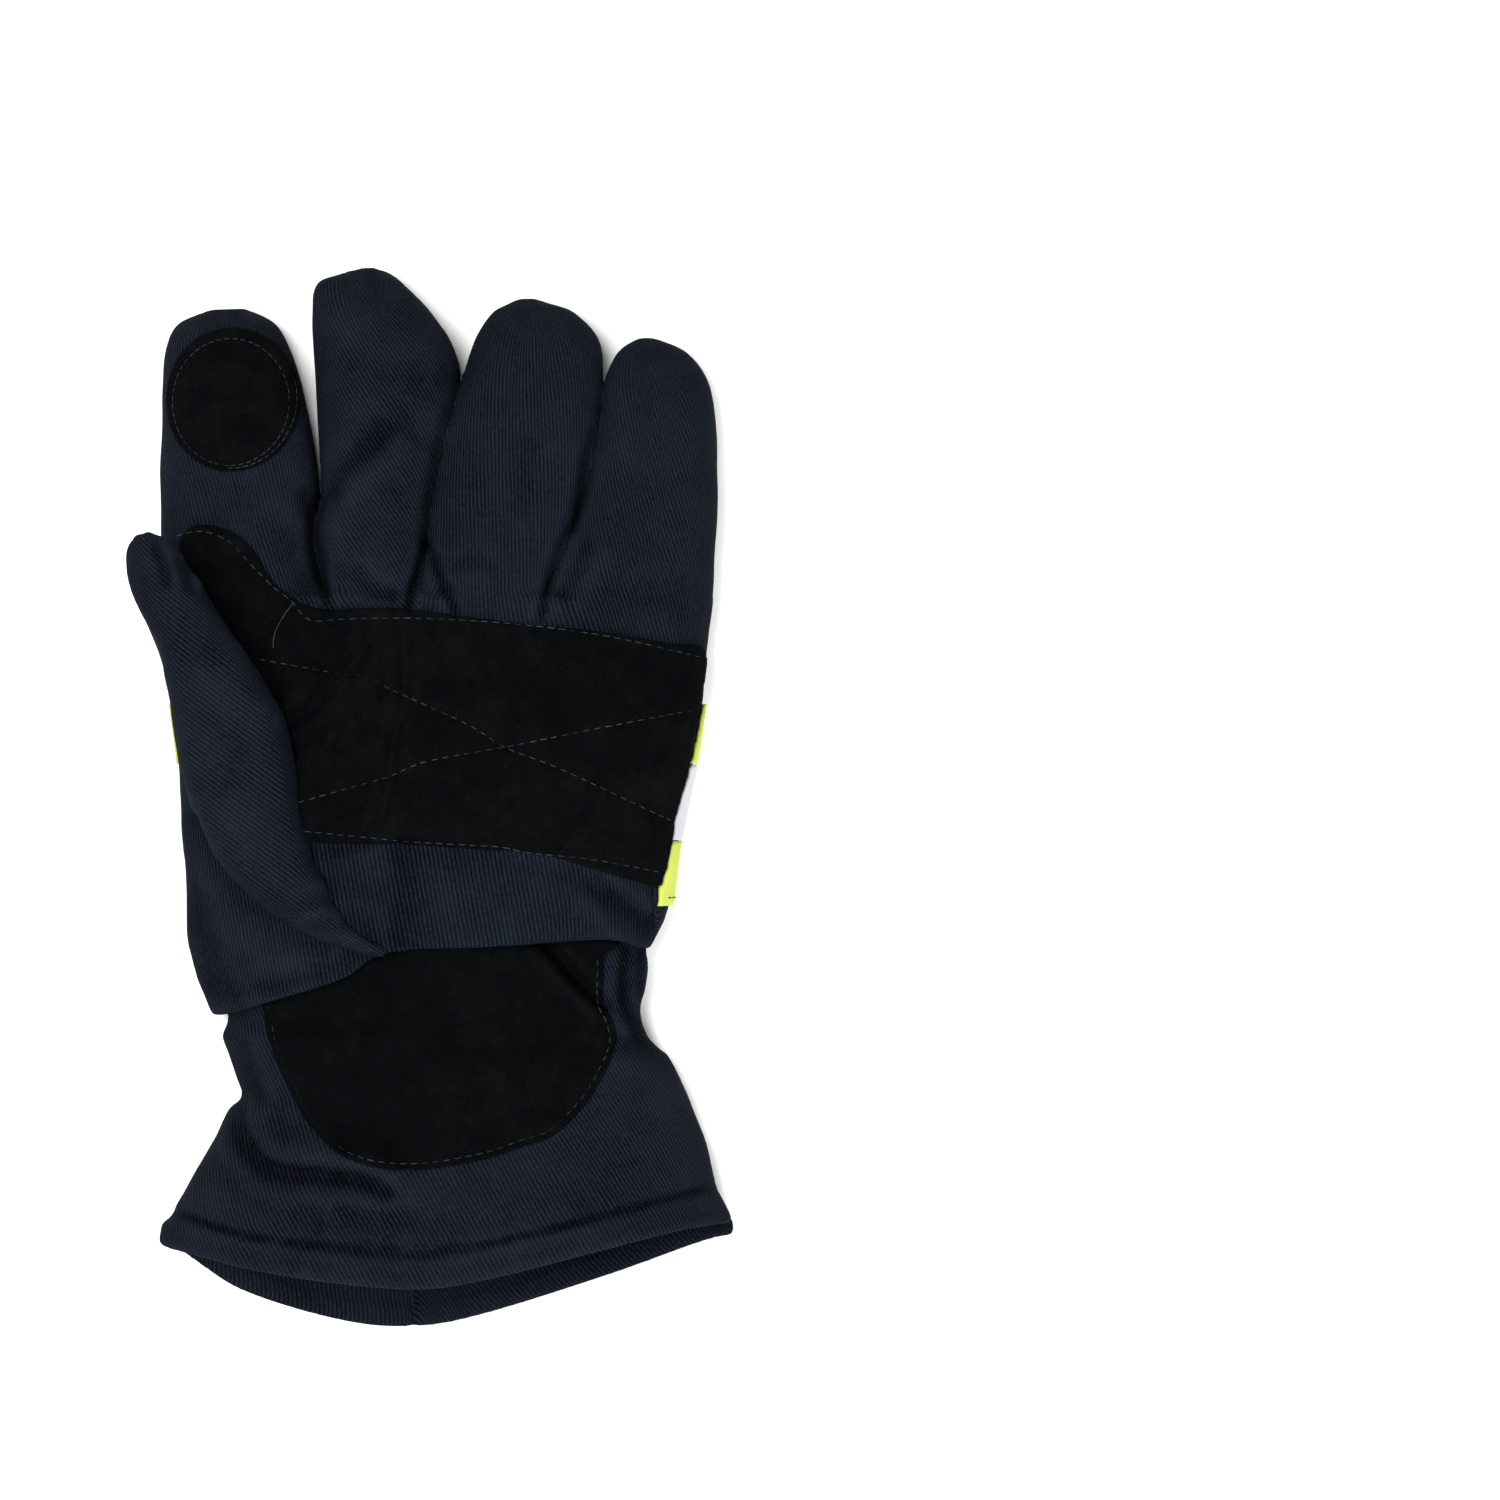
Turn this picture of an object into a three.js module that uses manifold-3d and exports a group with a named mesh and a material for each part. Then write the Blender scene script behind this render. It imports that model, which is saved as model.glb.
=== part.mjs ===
// A left-hand firefighter glove of padded cloth, lying on its back with the palm up.
// Millimetres. X runs from the thumb side to the little finger, Y towards the fingertips, Z up.
// While it is modelled, Y = 0 lies in the palm. At the end the group is moved so that the origin
// is at the middle of the bottom of the whole glove.
import * as THREE from "three";
import { mergeVertices } from "three/addons/utils/BufferGeometryUtils.js";
import Module from "manifold-3d";

const wasm = await Module();
wasm.setup();

// Cloth, suede and tape
const CLOTH_WALL = 2.6;
const PATCH_THICKNESS = 1.2;
const TAPE_THICKNESS = 0.8;
const PIECE_GAP = 0.3;

// Hand. The knuckle line is where the fingers part, and the index edge is the hand's side there.
const KNUCKLE_LINE = 52;
const INDEX_EDGE = -70.6;
const PALM_LENGTH = 94;
const PALM_THICKNESS = 27;
const FINGER_THICKNESS = 23;
const FINGER_SLIT = 0.8;
const SEAM_HEIGHT = 8;

// Fingers: width of the finger, share of it left at the knuckles, length past the knuckle line
const INDEX_WIDTH = 44;
const INDEX_LENGTH = 76;
const MIDDLE_WIDTH = 34;
const MIDDLE_LENGTH = 87.5;
const RING_WIDTH = 37;
const RING_LENGTH = 78.5;
const LITTLE_WIDTH = 40;
const LITTLE_LENGTH = 69;

// Thumb
const THUMB_LENGTH = 128;
const THUMB_WIDTH = 30;
const THUMB_THICKNESS = 24;

// Cuff
const WRIST_WIDTH = 109;
const CUFF_LENGTH = 86;
const CUFF_BACK_EXTRA = 12;
const CUFF_THICKNESS = 25;
const CUFF_TUCK = 9;
const TUCK_CLEARANCE = 1.2;
const HEM_DEPTH = 9.5;
const HEM_RAISE = 0.6;

// Tape across the back of the hand, and the seam that rises beside it on the little finger's side
const TAPE_TOP = 24.6;
const LIME_WIDTH = 18.4;
const SILVER_WIDTH = 16.2;
const TAPE_OFF_FLOOR = 0.4;
const SIDE_SEAM_HEIGHT = 17;
const SEAM_RISE_LENGTH = 8;
const SEAM_FALL_LENGTH = 14;
const SEAM_BEND_ACROSS = 0.2;
const SEAM_SIDE_ACROSS = 0.39;

// Index fingertip patch
const TIP_PATCH_WIDTH = 33.6;
const TIP_PATCH_LENGTH = 37;
const TIP_PATCH_ALONG = 0.685;

// How a cross section is rounded, and how much of its underside is pressed flat
const FINGER_SQUARENESS = 2.3;
const PALM_SQUARENESS = 2.7;
const PRESSED = 1.3;

// Points round a cross section, and rings from one row of a table to the next
const FINGER_SIDES = 16;
const HOLLOW_SIDES = 12;
const HAND_SIDES = 24;
const FINGER_STEPS = 2;
const REACH = 300;

function table(columns, rows) {
  return rows.map((row) => Object.fromEntries(columns.map((name, i) => [name, row[i]])));
}

// Fingers. along: share of the length past the knuckle line. left and right: shares of the width
// from the middle of the finger's root. high: share of the finger's thickness.
const FINGER_COLUMNS = ["along", "left", "right", "high"];

const INDEX_ROWS = table(FINGER_COLUMNS, [
  [-0.2, -0.46, 0.49, 0.95],
  [0.02, -0.5, 0.495, 0.98],
  [0.28, -0.493, 0.455, 0.95],
  [0.52, -0.484, 0.4, 0.97],
  [0.72, -0.484, 0.335, 0.95],
  [0.86, -0.465, 0.27, 0.84],
  [0.95, -0.39, 0.18, 0.68],
  [1.0, -0.21, 0.0, 0.45],
]);

const MIDDLE_ROWS = table(FINGER_COLUMNS, [
  [-0.18, -0.35, 0.35, 0.95],
  [0.02, -0.362, 0.362, 1.0],
  [0.25, -0.38, 0.4, 1.0],
  [0.48, -0.435, 0.512, 1.0],
  [0.69, -0.465, 0.62, 1.0],
  [0.85, -0.488, 0.42, 0.92],
  [0.95, -0.45, 0.18, 0.72],
  [1.0, -0.2, -0.02, 0.46],
]);

const RING_ROWS = table(FINGER_COLUMNS, [
  [-0.2, -0.42, 0.42, 0.95],
  [0.02, -0.43, 0.43, 1.0],
  [0.2, -0.4, 0.58, 1.0],
  [0.5, -0.28, 0.765, 1.0],
  [0.72, -0.15, 0.805, 0.97],
  [0.86, -0.05, 0.775, 0.88],
  [0.95, 0.07, 0.56, 0.7],
  [1.0, 0.24, 0.35, 0.46],
]);

const LITTLE_ROWS = table(FINGER_COLUMNS, [
  [-0.22, -0.52, 0.48, 0.95],
  [0.02, -0.535, 0.541, 1.0],
  [0.19, -0.41, 0.556, 0.97],
  [0.4, -0.28, 0.571, 0.95],
  [0.62, -0.21, 0.568, 0.93],
  [0.82, -0.155, 0.52, 0.84],
  [0.94, -0.07, 0.38, 0.66],
  [1.0, 0.06, 0.18, 0.45],
]);

const FINGERS = [
  { rows: INDEX_ROWS, width: INDEX_WIDTH, length: INDEX_LENGTH },
  { rows: MIDDLE_ROWS, width: MIDDLE_WIDTH, length: MIDDLE_LENGTH },
  { rows: RING_ROWS, width: RING_WIDTH, length: RING_LENGTH },
  { rows: LITTLE_ROWS, width: LITTLE_WIDTH, length: LITTLE_LENGTH },
];

// Palm. along: share of the palm's length below the knuckle line. left and right: shares of the
// knuckle width from the palm's middle. high: share of the palm's thickness. lift: share of the
// room that the tape needs under the back of the hand.
const PALM_ROWS = table(["along", "left", "right", "high", "lift"], [
  [0.0, -0.5, 0.498, 0.9, 0],
  [0.14, -0.491, 0.488, 0.97, 0],
  [0.27, -0.483, 0.483, 1.0, 0.9],
  [0.38, -0.472, 0.474, 1.0, 1],
  [0.48, -0.464, 0.463, 1.0, 1],
  [0.7, -0.457, 0.438, 0.98, 1],
  [0.84, -0.452, 0.426, 0.95, 1],
  [0.95, -0.446, 0.397, 0.92, 0.7],
  [1.06, -0.43, 0.38, 0.92, 0.2],
  [1.17, -0.402, 0.37, 0.92, 0],
  [1.26, -0.39, 0.365, 0.92, 0],
]);

// The fold of the palm over the wrist, seen from above. across: share of the knuckle width from
// the palm's middle. along: share of the palm's length below the knuckle line.
const FOLD_ROWS = table(["across", "along"], [
  [-0.55, 1.175],
  [-0.39, 1.162],
  [-0.27, 1.11],
  [-0.16, 1.055],
  [-0.08, 0.985],
  [0.11, 0.968],
  [0.31, 0.95],
  [0.39, 0.98],
  [0.55, 0.98],
]);

// Thumb, along its own middle line from the palm's fold to the tip. aside and ahead: shares of
// the thumb's length from where it starts. up: share of the palm's thickness above the palm's
// underside. width and thick: shares of the thumb's width and thickness.
const THUMB_ROWS = table(["aside", "ahead", "up", "width", "thick"], [
  [0.0, 0.0, 0.86, 0.1, 0.25],
  [-0.094, 0.047, 0.87, 0.32, 0.5],
  [-0.18, 0.117, 0.85, 0.56, 0.78],
  [-0.242, 0.203, 0.82, 0.8, 1.02],
  [-0.28, 0.297, 0.88, 0.9, 1.15],
  [-0.3, 0.398, 1.04, 0.96, 1.12],
  [-0.325, 0.5, 1.25, 0.87, 1.02],
  [-0.375, 0.617, 1.4, 0.66, 0.88],
  [-0.438, 0.742, 1.36, 0.54, 0.72],
  [-0.474, 0.82, 1.3, 0.38, 0.5],
  [-0.485, 0.85, 1.28, 0.14, 0.28],
]);
const THUMB_START_ACROSS = -0.085;
const THUMB_START_ALONG = 0.985;

// Cuff. along: share of the cuff's length below the palm's fold. left and right: shares of the
// wrist's width from the cuff's middle. high: share of the cuff's thickness. tucked: 1 where the
// cuff fits inside the hand's hollow, 0 where it is free.
const CUFF_ROWS = table(["along", "left", "right", "high", "tucked"], [
  [0.0, -0.5, 0.48, 0.78, 1],
  [0.19, -0.54, 0.48, 0.8, 1],
  [0.24, -0.538, 0.495, 0.84, 0],
  [0.31, -0.518, 0.542, 0.86, 0],
  [0.42, -0.491, 0.585, 0.89, 0],
  [0.47, -0.524, 0.602, 0.91, 0],
  [0.57, -0.56, 0.637, 0.96, 0],
  [0.7, -0.62, 0.66, 1.02, 0],
  [0.79, -0.66, 0.69, 1.06, 0],
  [0.87, -0.685, 0.695, 1.09, 0],
  [1.25, -0.66, 0.67, 1.14, 0],
]);
const CUFF_MIDDLE_ASIDE = 0.018;

// Hems, seen from above. across: share of the wrist's width from the cuff's middle. along: share
// of the cuff's length, and for the back of the extra length too, below the palm's fold.
const HEM_COLUMNS = ["across", "along"];
const FRONT_HEM_ROWS = table(HEM_COLUMNS, [
  [-0.8, 0.87],
  [-0.67, 0.885],
  [-0.41, 0.955],
  [-0.08, 1.0],
  [0.13, 0.965],
  [0.37, 0.89],
  [0.61, 0.82],
  [0.8, 0.81],
]);
const BACK_HEM_ROWS = table(HEM_COLUMNS, [
  [-0.8, 0.74],
  [-0.67, 0.775],
  [-0.5, 0.9],
  [-0.25, 0.985],
  [-0.07, 1.0],
  [0.1, 0.965],
  [0.4, 0.86],
  [0.67, 0.755],
  [0.8, 0.74],
]);

// Palm patch, seen from above. across: share of the knuckle width from the palm's middle. along:
// share of the palm's length below the knuckle line.
const PALM_PATCH_ROWS = table(["across", "along"], [
  [-0.445, -0.19],
  [-0.41, -0.207],
  [-0.36, -0.186],
  [-0.322, -0.134],
  [-0.295, -0.064],
  [-0.265, -0.016],
  [-0.2, 0.027],
  [-0.06, 0.025],
  [0.12, 0.06],
  [0.3, 0.09],
  [0.45, 0.125],
  [0.55, 0.15],
  [0.55, 0.83],
  [0.41, 0.81],
  [0.19, 0.71],
  [0.08, 0.697],
  [-0.06, 0.683],
  [-0.24, 0.676],
  [-0.36, 0.66],
  [-0.42, 0.5],
  [-0.46, 0.2],
  [-0.468, -0.08],
]);

// Wrist patch, seen from above, as shares of the wrist's width and the cuff's length.
const WRIST_PATCH_ROWS = table(["across", "along"], [
  [-0.44, 0.0],
  [-0.432, 0.15],
  [-0.408, 0.28],
  [-0.365, 0.4],
  [-0.318, 0.505],
  [-0.222, 0.605],
  [-0.078, 0.64],
  [0.09, 0.612],
  [0.245, 0.53],
  [0.345, 0.4],
  [0.388, 0.28],
  [0.392, 0.15],
  [0.388, 0.0],
  [0.37, -0.06],
  [-0.4, -0.06],
]);

// Roots of the fingers side by side, with a slit between them
function rootWidth(finger) {
  const root = finger.rows[1];
  return (root.right - root.left) * finger.width;
}
const KNUCKLE_WIDTH =
  FINGERS.reduce((sum, finger) => sum + rootWidth(finger), 0) + FINGER_SLIT * (FINGERS.length - 1);
const PALM_MIDDLE = INDEX_EDGE + KNUCKLE_WIDTH / 2;
const FOLD_LINE = KNUCKLE_LINE - PALM_LENGTH;
const CUFF_MIDDLE = PALM_MIDDLE + CUFF_MIDDLE_ASIDE * WRIST_WIDTH;
const TAPE_ROOM = TAPE_THICKNESS + PIECE_GAP + TAPE_OFF_FLOOR;
const TAPE_BOTTOM = TAPE_TOP - 2 * LIME_WIDTH - SILVER_WIDTH;

// Smooth value of every column at a place between two rows, passing through the rows
function blendRows(rows, place) {
  const i = Math.min(Math.floor(place), rows.length - 2);
  const t = place - i;
  const before = rows[Math.max(i - 1, 0)];
  const after = rows[Math.min(i + 2, rows.length - 1)];
  const mixed = {};
  for (const name of Object.keys(rows[i])) {
    const from = rows[i][name];
    const to = rows[i + 1][name];
    const slopeFrom = (to - before[name]) / 2;
    const slopeTo = (after[name] - from) / 2;
    mixed[name] =
      from * (2 * t ** 3 - 3 * t ** 2 + 1) +
      slopeFrom * (t ** 3 - 2 * t ** 2 + t) +
      to * (3 * t ** 2 - 2 * t ** 3) +
      slopeTo * (t ** 3 - t ** 2);
  }
  return mixed;
}

// The rows of a table with extra rows blended in between
function denseRows(rows, steps) {
  const dense = [];
  for (let i = 0; i < (rows.length - 1) * steps; i++) dense.push(blendRows(rows, i / steps));
  dense.push(rows[rows.length - 1]);
  return dense;
}

function mix(from, to, share) {
  return from + (to - from) * share;
}

// The row at a place along a table, on the straight between two of its rows
function rowAt(rows, along) {
  const after = rows.findIndex((row) => row.along >= along);
  if (after <= 0) return after < 0 ? rows[rows.length - 1] : rows[0];
  const from = rows[after - 1];
  const to = rows[after];
  const share = (along - from.along) / (to.along - from.along);
  const names = Object.keys(from);
  return Object.fromEntries(names.map((name) => [name, mix(from[name], to[name], share)]));
}

function roundedShare(share, squareness) {
  return Math.sign(share) * Math.abs(share) ** (2 / squareness);
}

// One ring round a form that lies on its back: widest at the seam, pressed flat underneath
function lyingRing({ y, left, right, low, high }, sides, squareness) {
  const middle = (left + right) / 2;
  const half = (right - left) / 2;
  const seam = Math.min(SEAM_HEIGHT, (low + high) / 2);
  const ring = [];
  for (let i = 0; i < sides; i++) {
    const turn = (2 * Math.PI * i) / sides;
    const across = roundedShare(Math.cos(turn), squareness);
    const up = roundedShare(Math.sin(turn), squareness);
    const z = up > 0 ? seam + up * (high - seam) : Math.max(low, seam + PRESSED * up * (seam - low));
    ring.push(new THREE.Vector3(middle + half * across, y, z));
  }
  return ring;
}

// A closed solid from a BufferGeometry
function solidFrom(geometry) {
  const bare = geometry.index ? geometry.toNonIndexed() : geometry.clone();
  bare.deleteAttribute("normal");
  bare.deleteAttribute("uv");
  const merged = mergeVertices(bare, 1e-4);
  const vertProperties = merged.attributes.position.array;
  const triVerts = new Uint32Array(merged.index.array);
  return new wasm.Manifold(new wasm.Mesh({ numProp: 3, vertProperties, triVerts }));
}

function enclosedVolume(points, faces) {
  let volume = 0;
  for (const [a, b, c] of faces) {
    volume += points[a].dot(new THREE.Vector3().crossVectors(points[b], points[c])) / 6;
  }
  return volume;
}

// A closed solid through rings with the same number of points, capped at both ends
function loft(rings) {
  const sides = rings[0].length;
  const points = rings.flat();
  const faces = [];
  for (let r = 0; r + 1 < rings.length; r++) {
    for (let s = 0; s < sides; s++) {
      const a = r * sides + s;
      const b = r * sides + ((s + 1) % sides);
      faces.push([a, b, b + sides], [a, b + sides, a + sides]);
    }
  }
  const last = (rings.length - 1) * sides;
  const startPole = points.length;
  points.push(centreOf(rings[0]));
  const endPole = points.length;
  points.push(centreOf(rings[rings.length - 1]));
  for (let s = 0; s < sides; s++) {
    const next = (s + 1) % sides;
    faces.push([startPole, next, s], [endPole, last + s, last + next]);
  }
  if (enclosedVolume(points, faces) < 0) faces.forEach((face) => face.reverse());
  const geometry = new THREE.BufferGeometry().setFromPoints(points);
  geometry.setIndex(faces.flat());
  return solidFrom(geometry);
}

function centreOf(ring) {
  return ring.reduce((sum, point) => sum.add(point), new THREE.Vector3()).divideScalar(ring.length);
}

// An upright solid over an outline seen from above
function prism(outline, low = -REACH, high = REACH) {
  const geometry = new THREE.ExtrudeGeometry(new THREE.Shape(outline), {
    depth: high - low,
    bevelEnabled: false,
  });
  geometry.translate(0, 0, low);
  return solidFrom(geometry);
}

// Half of a width after a wall is taken off each side, never less than a sliver
const LEAST_SHARE = 0.25;

function growHalf(half, grow) {
  return Math.max(half + grow, half * LEAST_SHARE);
}

function spanRow(left, right, low, high, grow) {
  const middle = (left + right) / 2;
  const half = growHalf((right - left) / 2, grow);
  const centre = (low + high) / 2;
  const halfHigh = growHalf((high - low) / 2, grow);
  return { left: middle - half, right: middle + half, low: centre - halfHigh, high: centre + halfHigh };
}

// The outside is finer than the hollow, whose flat facets only leave the wall a little thicker
function ringSides(grow) {
  return grow < 0 ? HOLLOW_SIDES : FINGER_SIDES;
}

function ringSteps(grow) {
  return grow < 0 ? 1 : FINGER_STEPS;
}

// A finger, grown or shrunk all round by the same amount
function fingerForm(finger, rootMiddle, grow) {
  const rings = denseRows(finger.rows, ringSteps(grow)).map((row) => {
    const reach = row.along > 0 ? finger.length + grow : finger.length;
    const y = KNUCKLE_LINE + row.along * reach;
    const left = rootMiddle + row.left * finger.width;
    const right = rootMiddle + row.right * finger.width;
    const span = spanRow(left, right, 0, row.high * FINGER_THICKNESS, grow);
    return lyingRing({ y, ...span }, ringSides(grow), FINGER_SQUARENESS);
  });
  return loft(rings);
}

function palmSpan(row) {
  return {
    left: PALM_MIDDLE + row.left * KNUCKLE_WIDTH,
    right: PALM_MIDDLE + row.right * KNUCKLE_WIDTH,
    low: row.lift * TAPE_ROOM,
    high: row.high * PALM_THICKNESS,
  };
}

function palmForm(grow) {
  const rings = PALM_ROWS.map((row) => {
    const y = KNUCKLE_LINE - row.along * PALM_LENGTH + (row.along === 0 ? grow : 0);
    const { left, right, low, high } = palmSpan(row);
    return lyingRing({ y, ...spanRow(left, right, low, high, grow) }, HAND_SIDES, PALM_SQUARENESS);
  });
  return loft(rings);
}

// Palm and four fingers in one
function handForm(grow) {
  let form = palmForm(grow);
  let edge = INDEX_EDGE;
  for (const finger of FINGERS) {
    const rootLeft = finger.rows[1].left * finger.width;
    form = form.add(fingerForm(finger, edge - rootLeft, grow));
    edge += rootWidth(finger) + FINGER_SLIT;
  }
  return form;
}

// The thumb's middle line starts at the palm's fold and runs out over the side of the hand
function thumbForm(grow) {
  const start = new THREE.Vector3(
    PALM_MIDDLE + THUMB_START_ACROSS * KNUCKLE_WIDTH,
    KNUCKLE_LINE - THUMB_START_ALONG * PALM_LENGTH,
    0,
  );
  const rows = denseRows(THUMB_ROWS, ringSteps(grow));
  const sides = ringSides(grow);
  const line = rows.map((row) =>
    new THREE.Vector3(row.aside * THUMB_LENGTH, row.ahead * THUMB_LENGTH, row.up * PALM_THICKNESS).add(start),
  );
  const rings = rows.map((row, i) => {
    const ahead = new THREE.Vector3().subVectors(
      line[Math.min(i + 1, line.length - 1)],
      line[Math.max(i - 1, 0)],
    );
    ahead.setZ(0).normalize();
    const sideways = new THREE.Vector3(ahead.y, -ahead.x, 0);
    const end = i === 0 ? -grow : i === line.length - 1 ? grow : 0;
    const halfWidth = growHalf((row.width * THUMB_WIDTH) / 2, grow);
    const halfThick = growHalf((row.thick * THUMB_THICKNESS) / 2, grow);
    const ring = [];
    for (let s = 0; s < sides; s++) {
      const turn = (2 * Math.PI * s) / sides;
      const point = line[i].clone().addScaledVector(ahead, end);
      point.addScaledVector(sideways, halfWidth * roundedShare(Math.cos(turn), FINGER_SQUARENESS));
      point.z += halfThick * roundedShare(Math.sin(turn), FINGER_SQUARENESS);
      ring.push(point);
    }
    return ring;
  });
  return loft(rings);
}

// The cuff's outside where it fits, with its patch, inside the hollow of the hand
function tuckedSpan(y) {
  const hand = palmSpan(rowAt(PALM_ROWS, (KNUCKLE_LINE - y) / PALM_LENGTH));
  const inset = CLOTH_WALL + TUCK_CLEARANCE;
  return {
    left: hand.left + inset,
    right: hand.right - inset,
    low: hand.low + inset,
    high: hand.high - inset - PATCH_THICKNESS - PIECE_GAP,
  };
}

// Flared cuff, whose upper end is tucked into the hand
function cuffForm(grow) {
  const tuckedEnd = { ...CUFF_ROWS[0], along: -CUFF_TUCK / CUFF_LENGTH };
  const rings = [tuckedEnd, ...CUFF_ROWS].map((row) => {
    const y = FOLD_LINE - row.along * CUFF_LENGTH;
    const tucked = tuckedSpan(y);
    const left = mix(CUFF_MIDDLE + row.left * WRIST_WIDTH, tucked.left, row.tucked);
    const right = mix(CUFF_MIDDLE + row.right * WRIST_WIDTH, tucked.right, row.tucked);
    const high = mix(row.high * CUFF_THICKNESS, tucked.high, row.tucked);
    const span = spanRow(left, right, tucked.low * row.tucked, high, grow);
    span.low = Math.max(span.low, 0);
    return lyingRing({ y, ...span }, HAND_SIDES, PALM_SQUARENESS);
  });
  return loft(rings);
}

// Everything under the side seam. The seam runs low, and rises beside the tape on the little
// finger's side, where the back of the hand comes round into view.
const SEAM_ROWS = table(["y", "side"], [
  [REACH, SEAM_HEIGHT],
  [TAPE_TOP + SEAM_RISE_LENGTH, SEAM_HEIGHT],
  [TAPE_TOP, SIDE_SEAM_HEIGHT],
  [TAPE_BOTTOM, SIDE_SEAM_HEIGHT],
  [TAPE_BOTTOM - SEAM_FALL_LENGTH, SEAM_HEIGHT],
  [-REACH, SEAM_HEIGHT],
]);

function belowSeam(lift) {
  const bend = PALM_MIDDLE + SEAM_BEND_ACROSS * KNUCKLE_WIDTH;
  const side = PALM_MIDDLE + SEAM_SIDE_ACROSS * KNUCKLE_WIDTH;
  return loft(
    SEAM_ROWS.map((row) => [
      new THREE.Vector3(-REACH, row.y, -REACH),
      new THREE.Vector3(REACH, row.y, -REACH),
      new THREE.Vector3(REACH, row.y, row.side + lift),
      new THREE.Vector3(side, row.y, row.side + lift),
      new THREE.Vector3(bend, row.y, SEAM_HEIGHT + lift),
      new THREE.Vector3(-REACH, row.y, SEAM_HEIGHT + lift),
    ]),
  );
}

// A smooth line through the rows of an outline seen from above
function planLine(rows, middle, width, top, length, closed = false) {
  const points = rows.map(
    (row) => new THREE.Vector3(middle + row.across * width, top - row.along * length, 0),
  );
  const curve = new THREE.CatmullRomCurve3(points, closed, "centripetal");
  return curve.getPoints(rows.length * 2).map((point) => new THREE.Vector2(point.x, point.y));
}

// Everything on the wrist's side of a line seen from above, which runs from left to right
function beyondLine(line, shift = 0) {
  const outline = line.map((point) => new THREE.Vector2(point.x, point.y + shift));
  outline.push(new THREE.Vector2(outline[outline.length - 1].x, -REACH));
  outline.push(new THREE.Vector2(outline[0].x, -REACH));
  return prism(outline);
}

function handOutline(rows, closed) {
  return planLine(rows, PALM_MIDDLE, KNUCKLE_WIDTH, KNUCKLE_LINE, PALM_LENGTH, closed);
}

function slab(yTop, yBottom) {
  return prism([
    new THREE.Vector2(-REACH, yBottom),
    new THREE.Vector2(REACH, yBottom),
    new THREE.Vector2(REACH, yTop),
    new THREE.Vector2(-REACH, yTop),
  ]);
}

const FOLD = handOutline(FOLD_ROWS, false);
const FRONT_HEM = planLine(FRONT_HEM_ROWS, CUFF_MIDDLE, WRIST_WIDTH, FOLD_LINE, CUFF_LENGTH);
const BACK_HEM = planLine(
  BACK_HEM_ROWS,
  CUFF_MIDDLE,
  WRIST_WIDTH,
  FOLD_LINE,
  CUFF_LENGTH + CUFF_BACK_EXTRA,
);
const UNDER_SEAM = belowSeam(-PIECE_GAP / 2);
const UNDER_AND_GAP = belowSeam(PIECE_GAP / 2);
const HAND_SKIN = handForm(PIECE_GAP);
const THUMB_INSIDE = thumbForm(-CLOTH_WALL);

function handShell() {
  return handForm(0).subtract(handForm(-CLOTH_WALL)).subtract(beyondLine(FOLD)).subtract(THUMB_INSIDE);
}

function thumbPiece() {
  return thumbForm(0).subtract(THUMB_INSIDE).subtract(HAND_SKIN);
}

// A thin layer that lies a gap above a form
function layerOn(form, thickness) {
  return form(PIECE_GAP + thickness).subtract(form(PIECE_GAP));
}

function palmPatch() {
  return layerOn(handForm, PATCH_THICKNESS)
    .intersect(prism(handOutline(PALM_PATCH_ROWS, true)))
    .subtract(UNDER_AND_GAP)
    .subtract(thumbForm(PIECE_GAP));
}

function indexTipPatch() {
  const tip = rowAt(INDEX_ROWS, TIP_PATCH_ALONG);
  const rootMiddle = INDEX_EDGE - INDEX_ROWS[1].left * INDEX_WIDTH;
  const round = new THREE.EllipseCurve(
    rootMiddle + ((tip.left + tip.right) / 2) * INDEX_WIDTH,
    KNUCKLE_LINE + TIP_PATCH_ALONG * INDEX_LENGTH,
    TIP_PATCH_WIDTH / 2,
    TIP_PATCH_LENGTH / 2,
  );
  const outline = round.getPoints(HAND_SIDES).slice(0, -1);
  return layerOn(handForm, PATCH_THICKNESS).intersect(prism(outline)).subtract(UNDER_AND_GAP);
}

function wristPatch() {
  const outline = planLine(WRIST_PATCH_ROWS, CUFF_MIDDLE, WRIST_WIDTH, FOLD_LINE, CUFF_LENGTH, true);
  return layerOn(cuffForm, PATCH_THICKNESS).intersect(prism(outline)).subtract(UNDER_AND_GAP);
}

// The cuff's wall with its hem, up to a hem line seen from above
function cuffShell(hemLine) {
  const plain = cuffForm(0);
  const hem = cuffForm(HEM_RAISE).intersect(beyondLine(hemLine, HEM_DEPTH));
  return plain.add(hem).subtract(cuffForm(-CLOTH_WALL)).subtract(beyondLine(hemLine));
}

function tapeStrip(yTop, yBottom) {
  return layerOn(handForm, TAPE_THICKNESS).intersect(slab(yTop, yBottom)).intersect(UNDER_SEAM);
}

// A named mesh with its own material
function piece(name, solid, color, roughness) {
  const mesh = solid.getMesh();
  const geometry = new THREE.BufferGeometry();
  geometry.setAttribute("position", new THREE.BufferAttribute(mesh.vertProperties, 3));
  geometry.setIndex(new THREE.BufferAttribute(mesh.triVerts, 1));
  geometry.computeVertexNormals();
  const material = new THREE.MeshStandardMaterial({ color, roughness, metalness: 0 });
  const node = new THREE.Mesh(geometry, material);
  node.name = name;
  return node;
}

const NAVY_CLOTH = 0x1c202b;
const BLACK_SUEDE = 0x0d0e10;
const LIME_TAPE = 0xe1ec6b;
const SILVER_TAPE = 0xdfe2e4;
const CLOTH_ROUGHNESS = 0.9;
const SUEDE_ROUGHNESS = 0.95;
const TAPE_ROUGHNESS = 0.4;

const shell = handShell();
const limeEnd = TAPE_TOP - LIME_WIDTH;
const silverEnd = limeEnd - SILVER_WIDTH;

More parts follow.
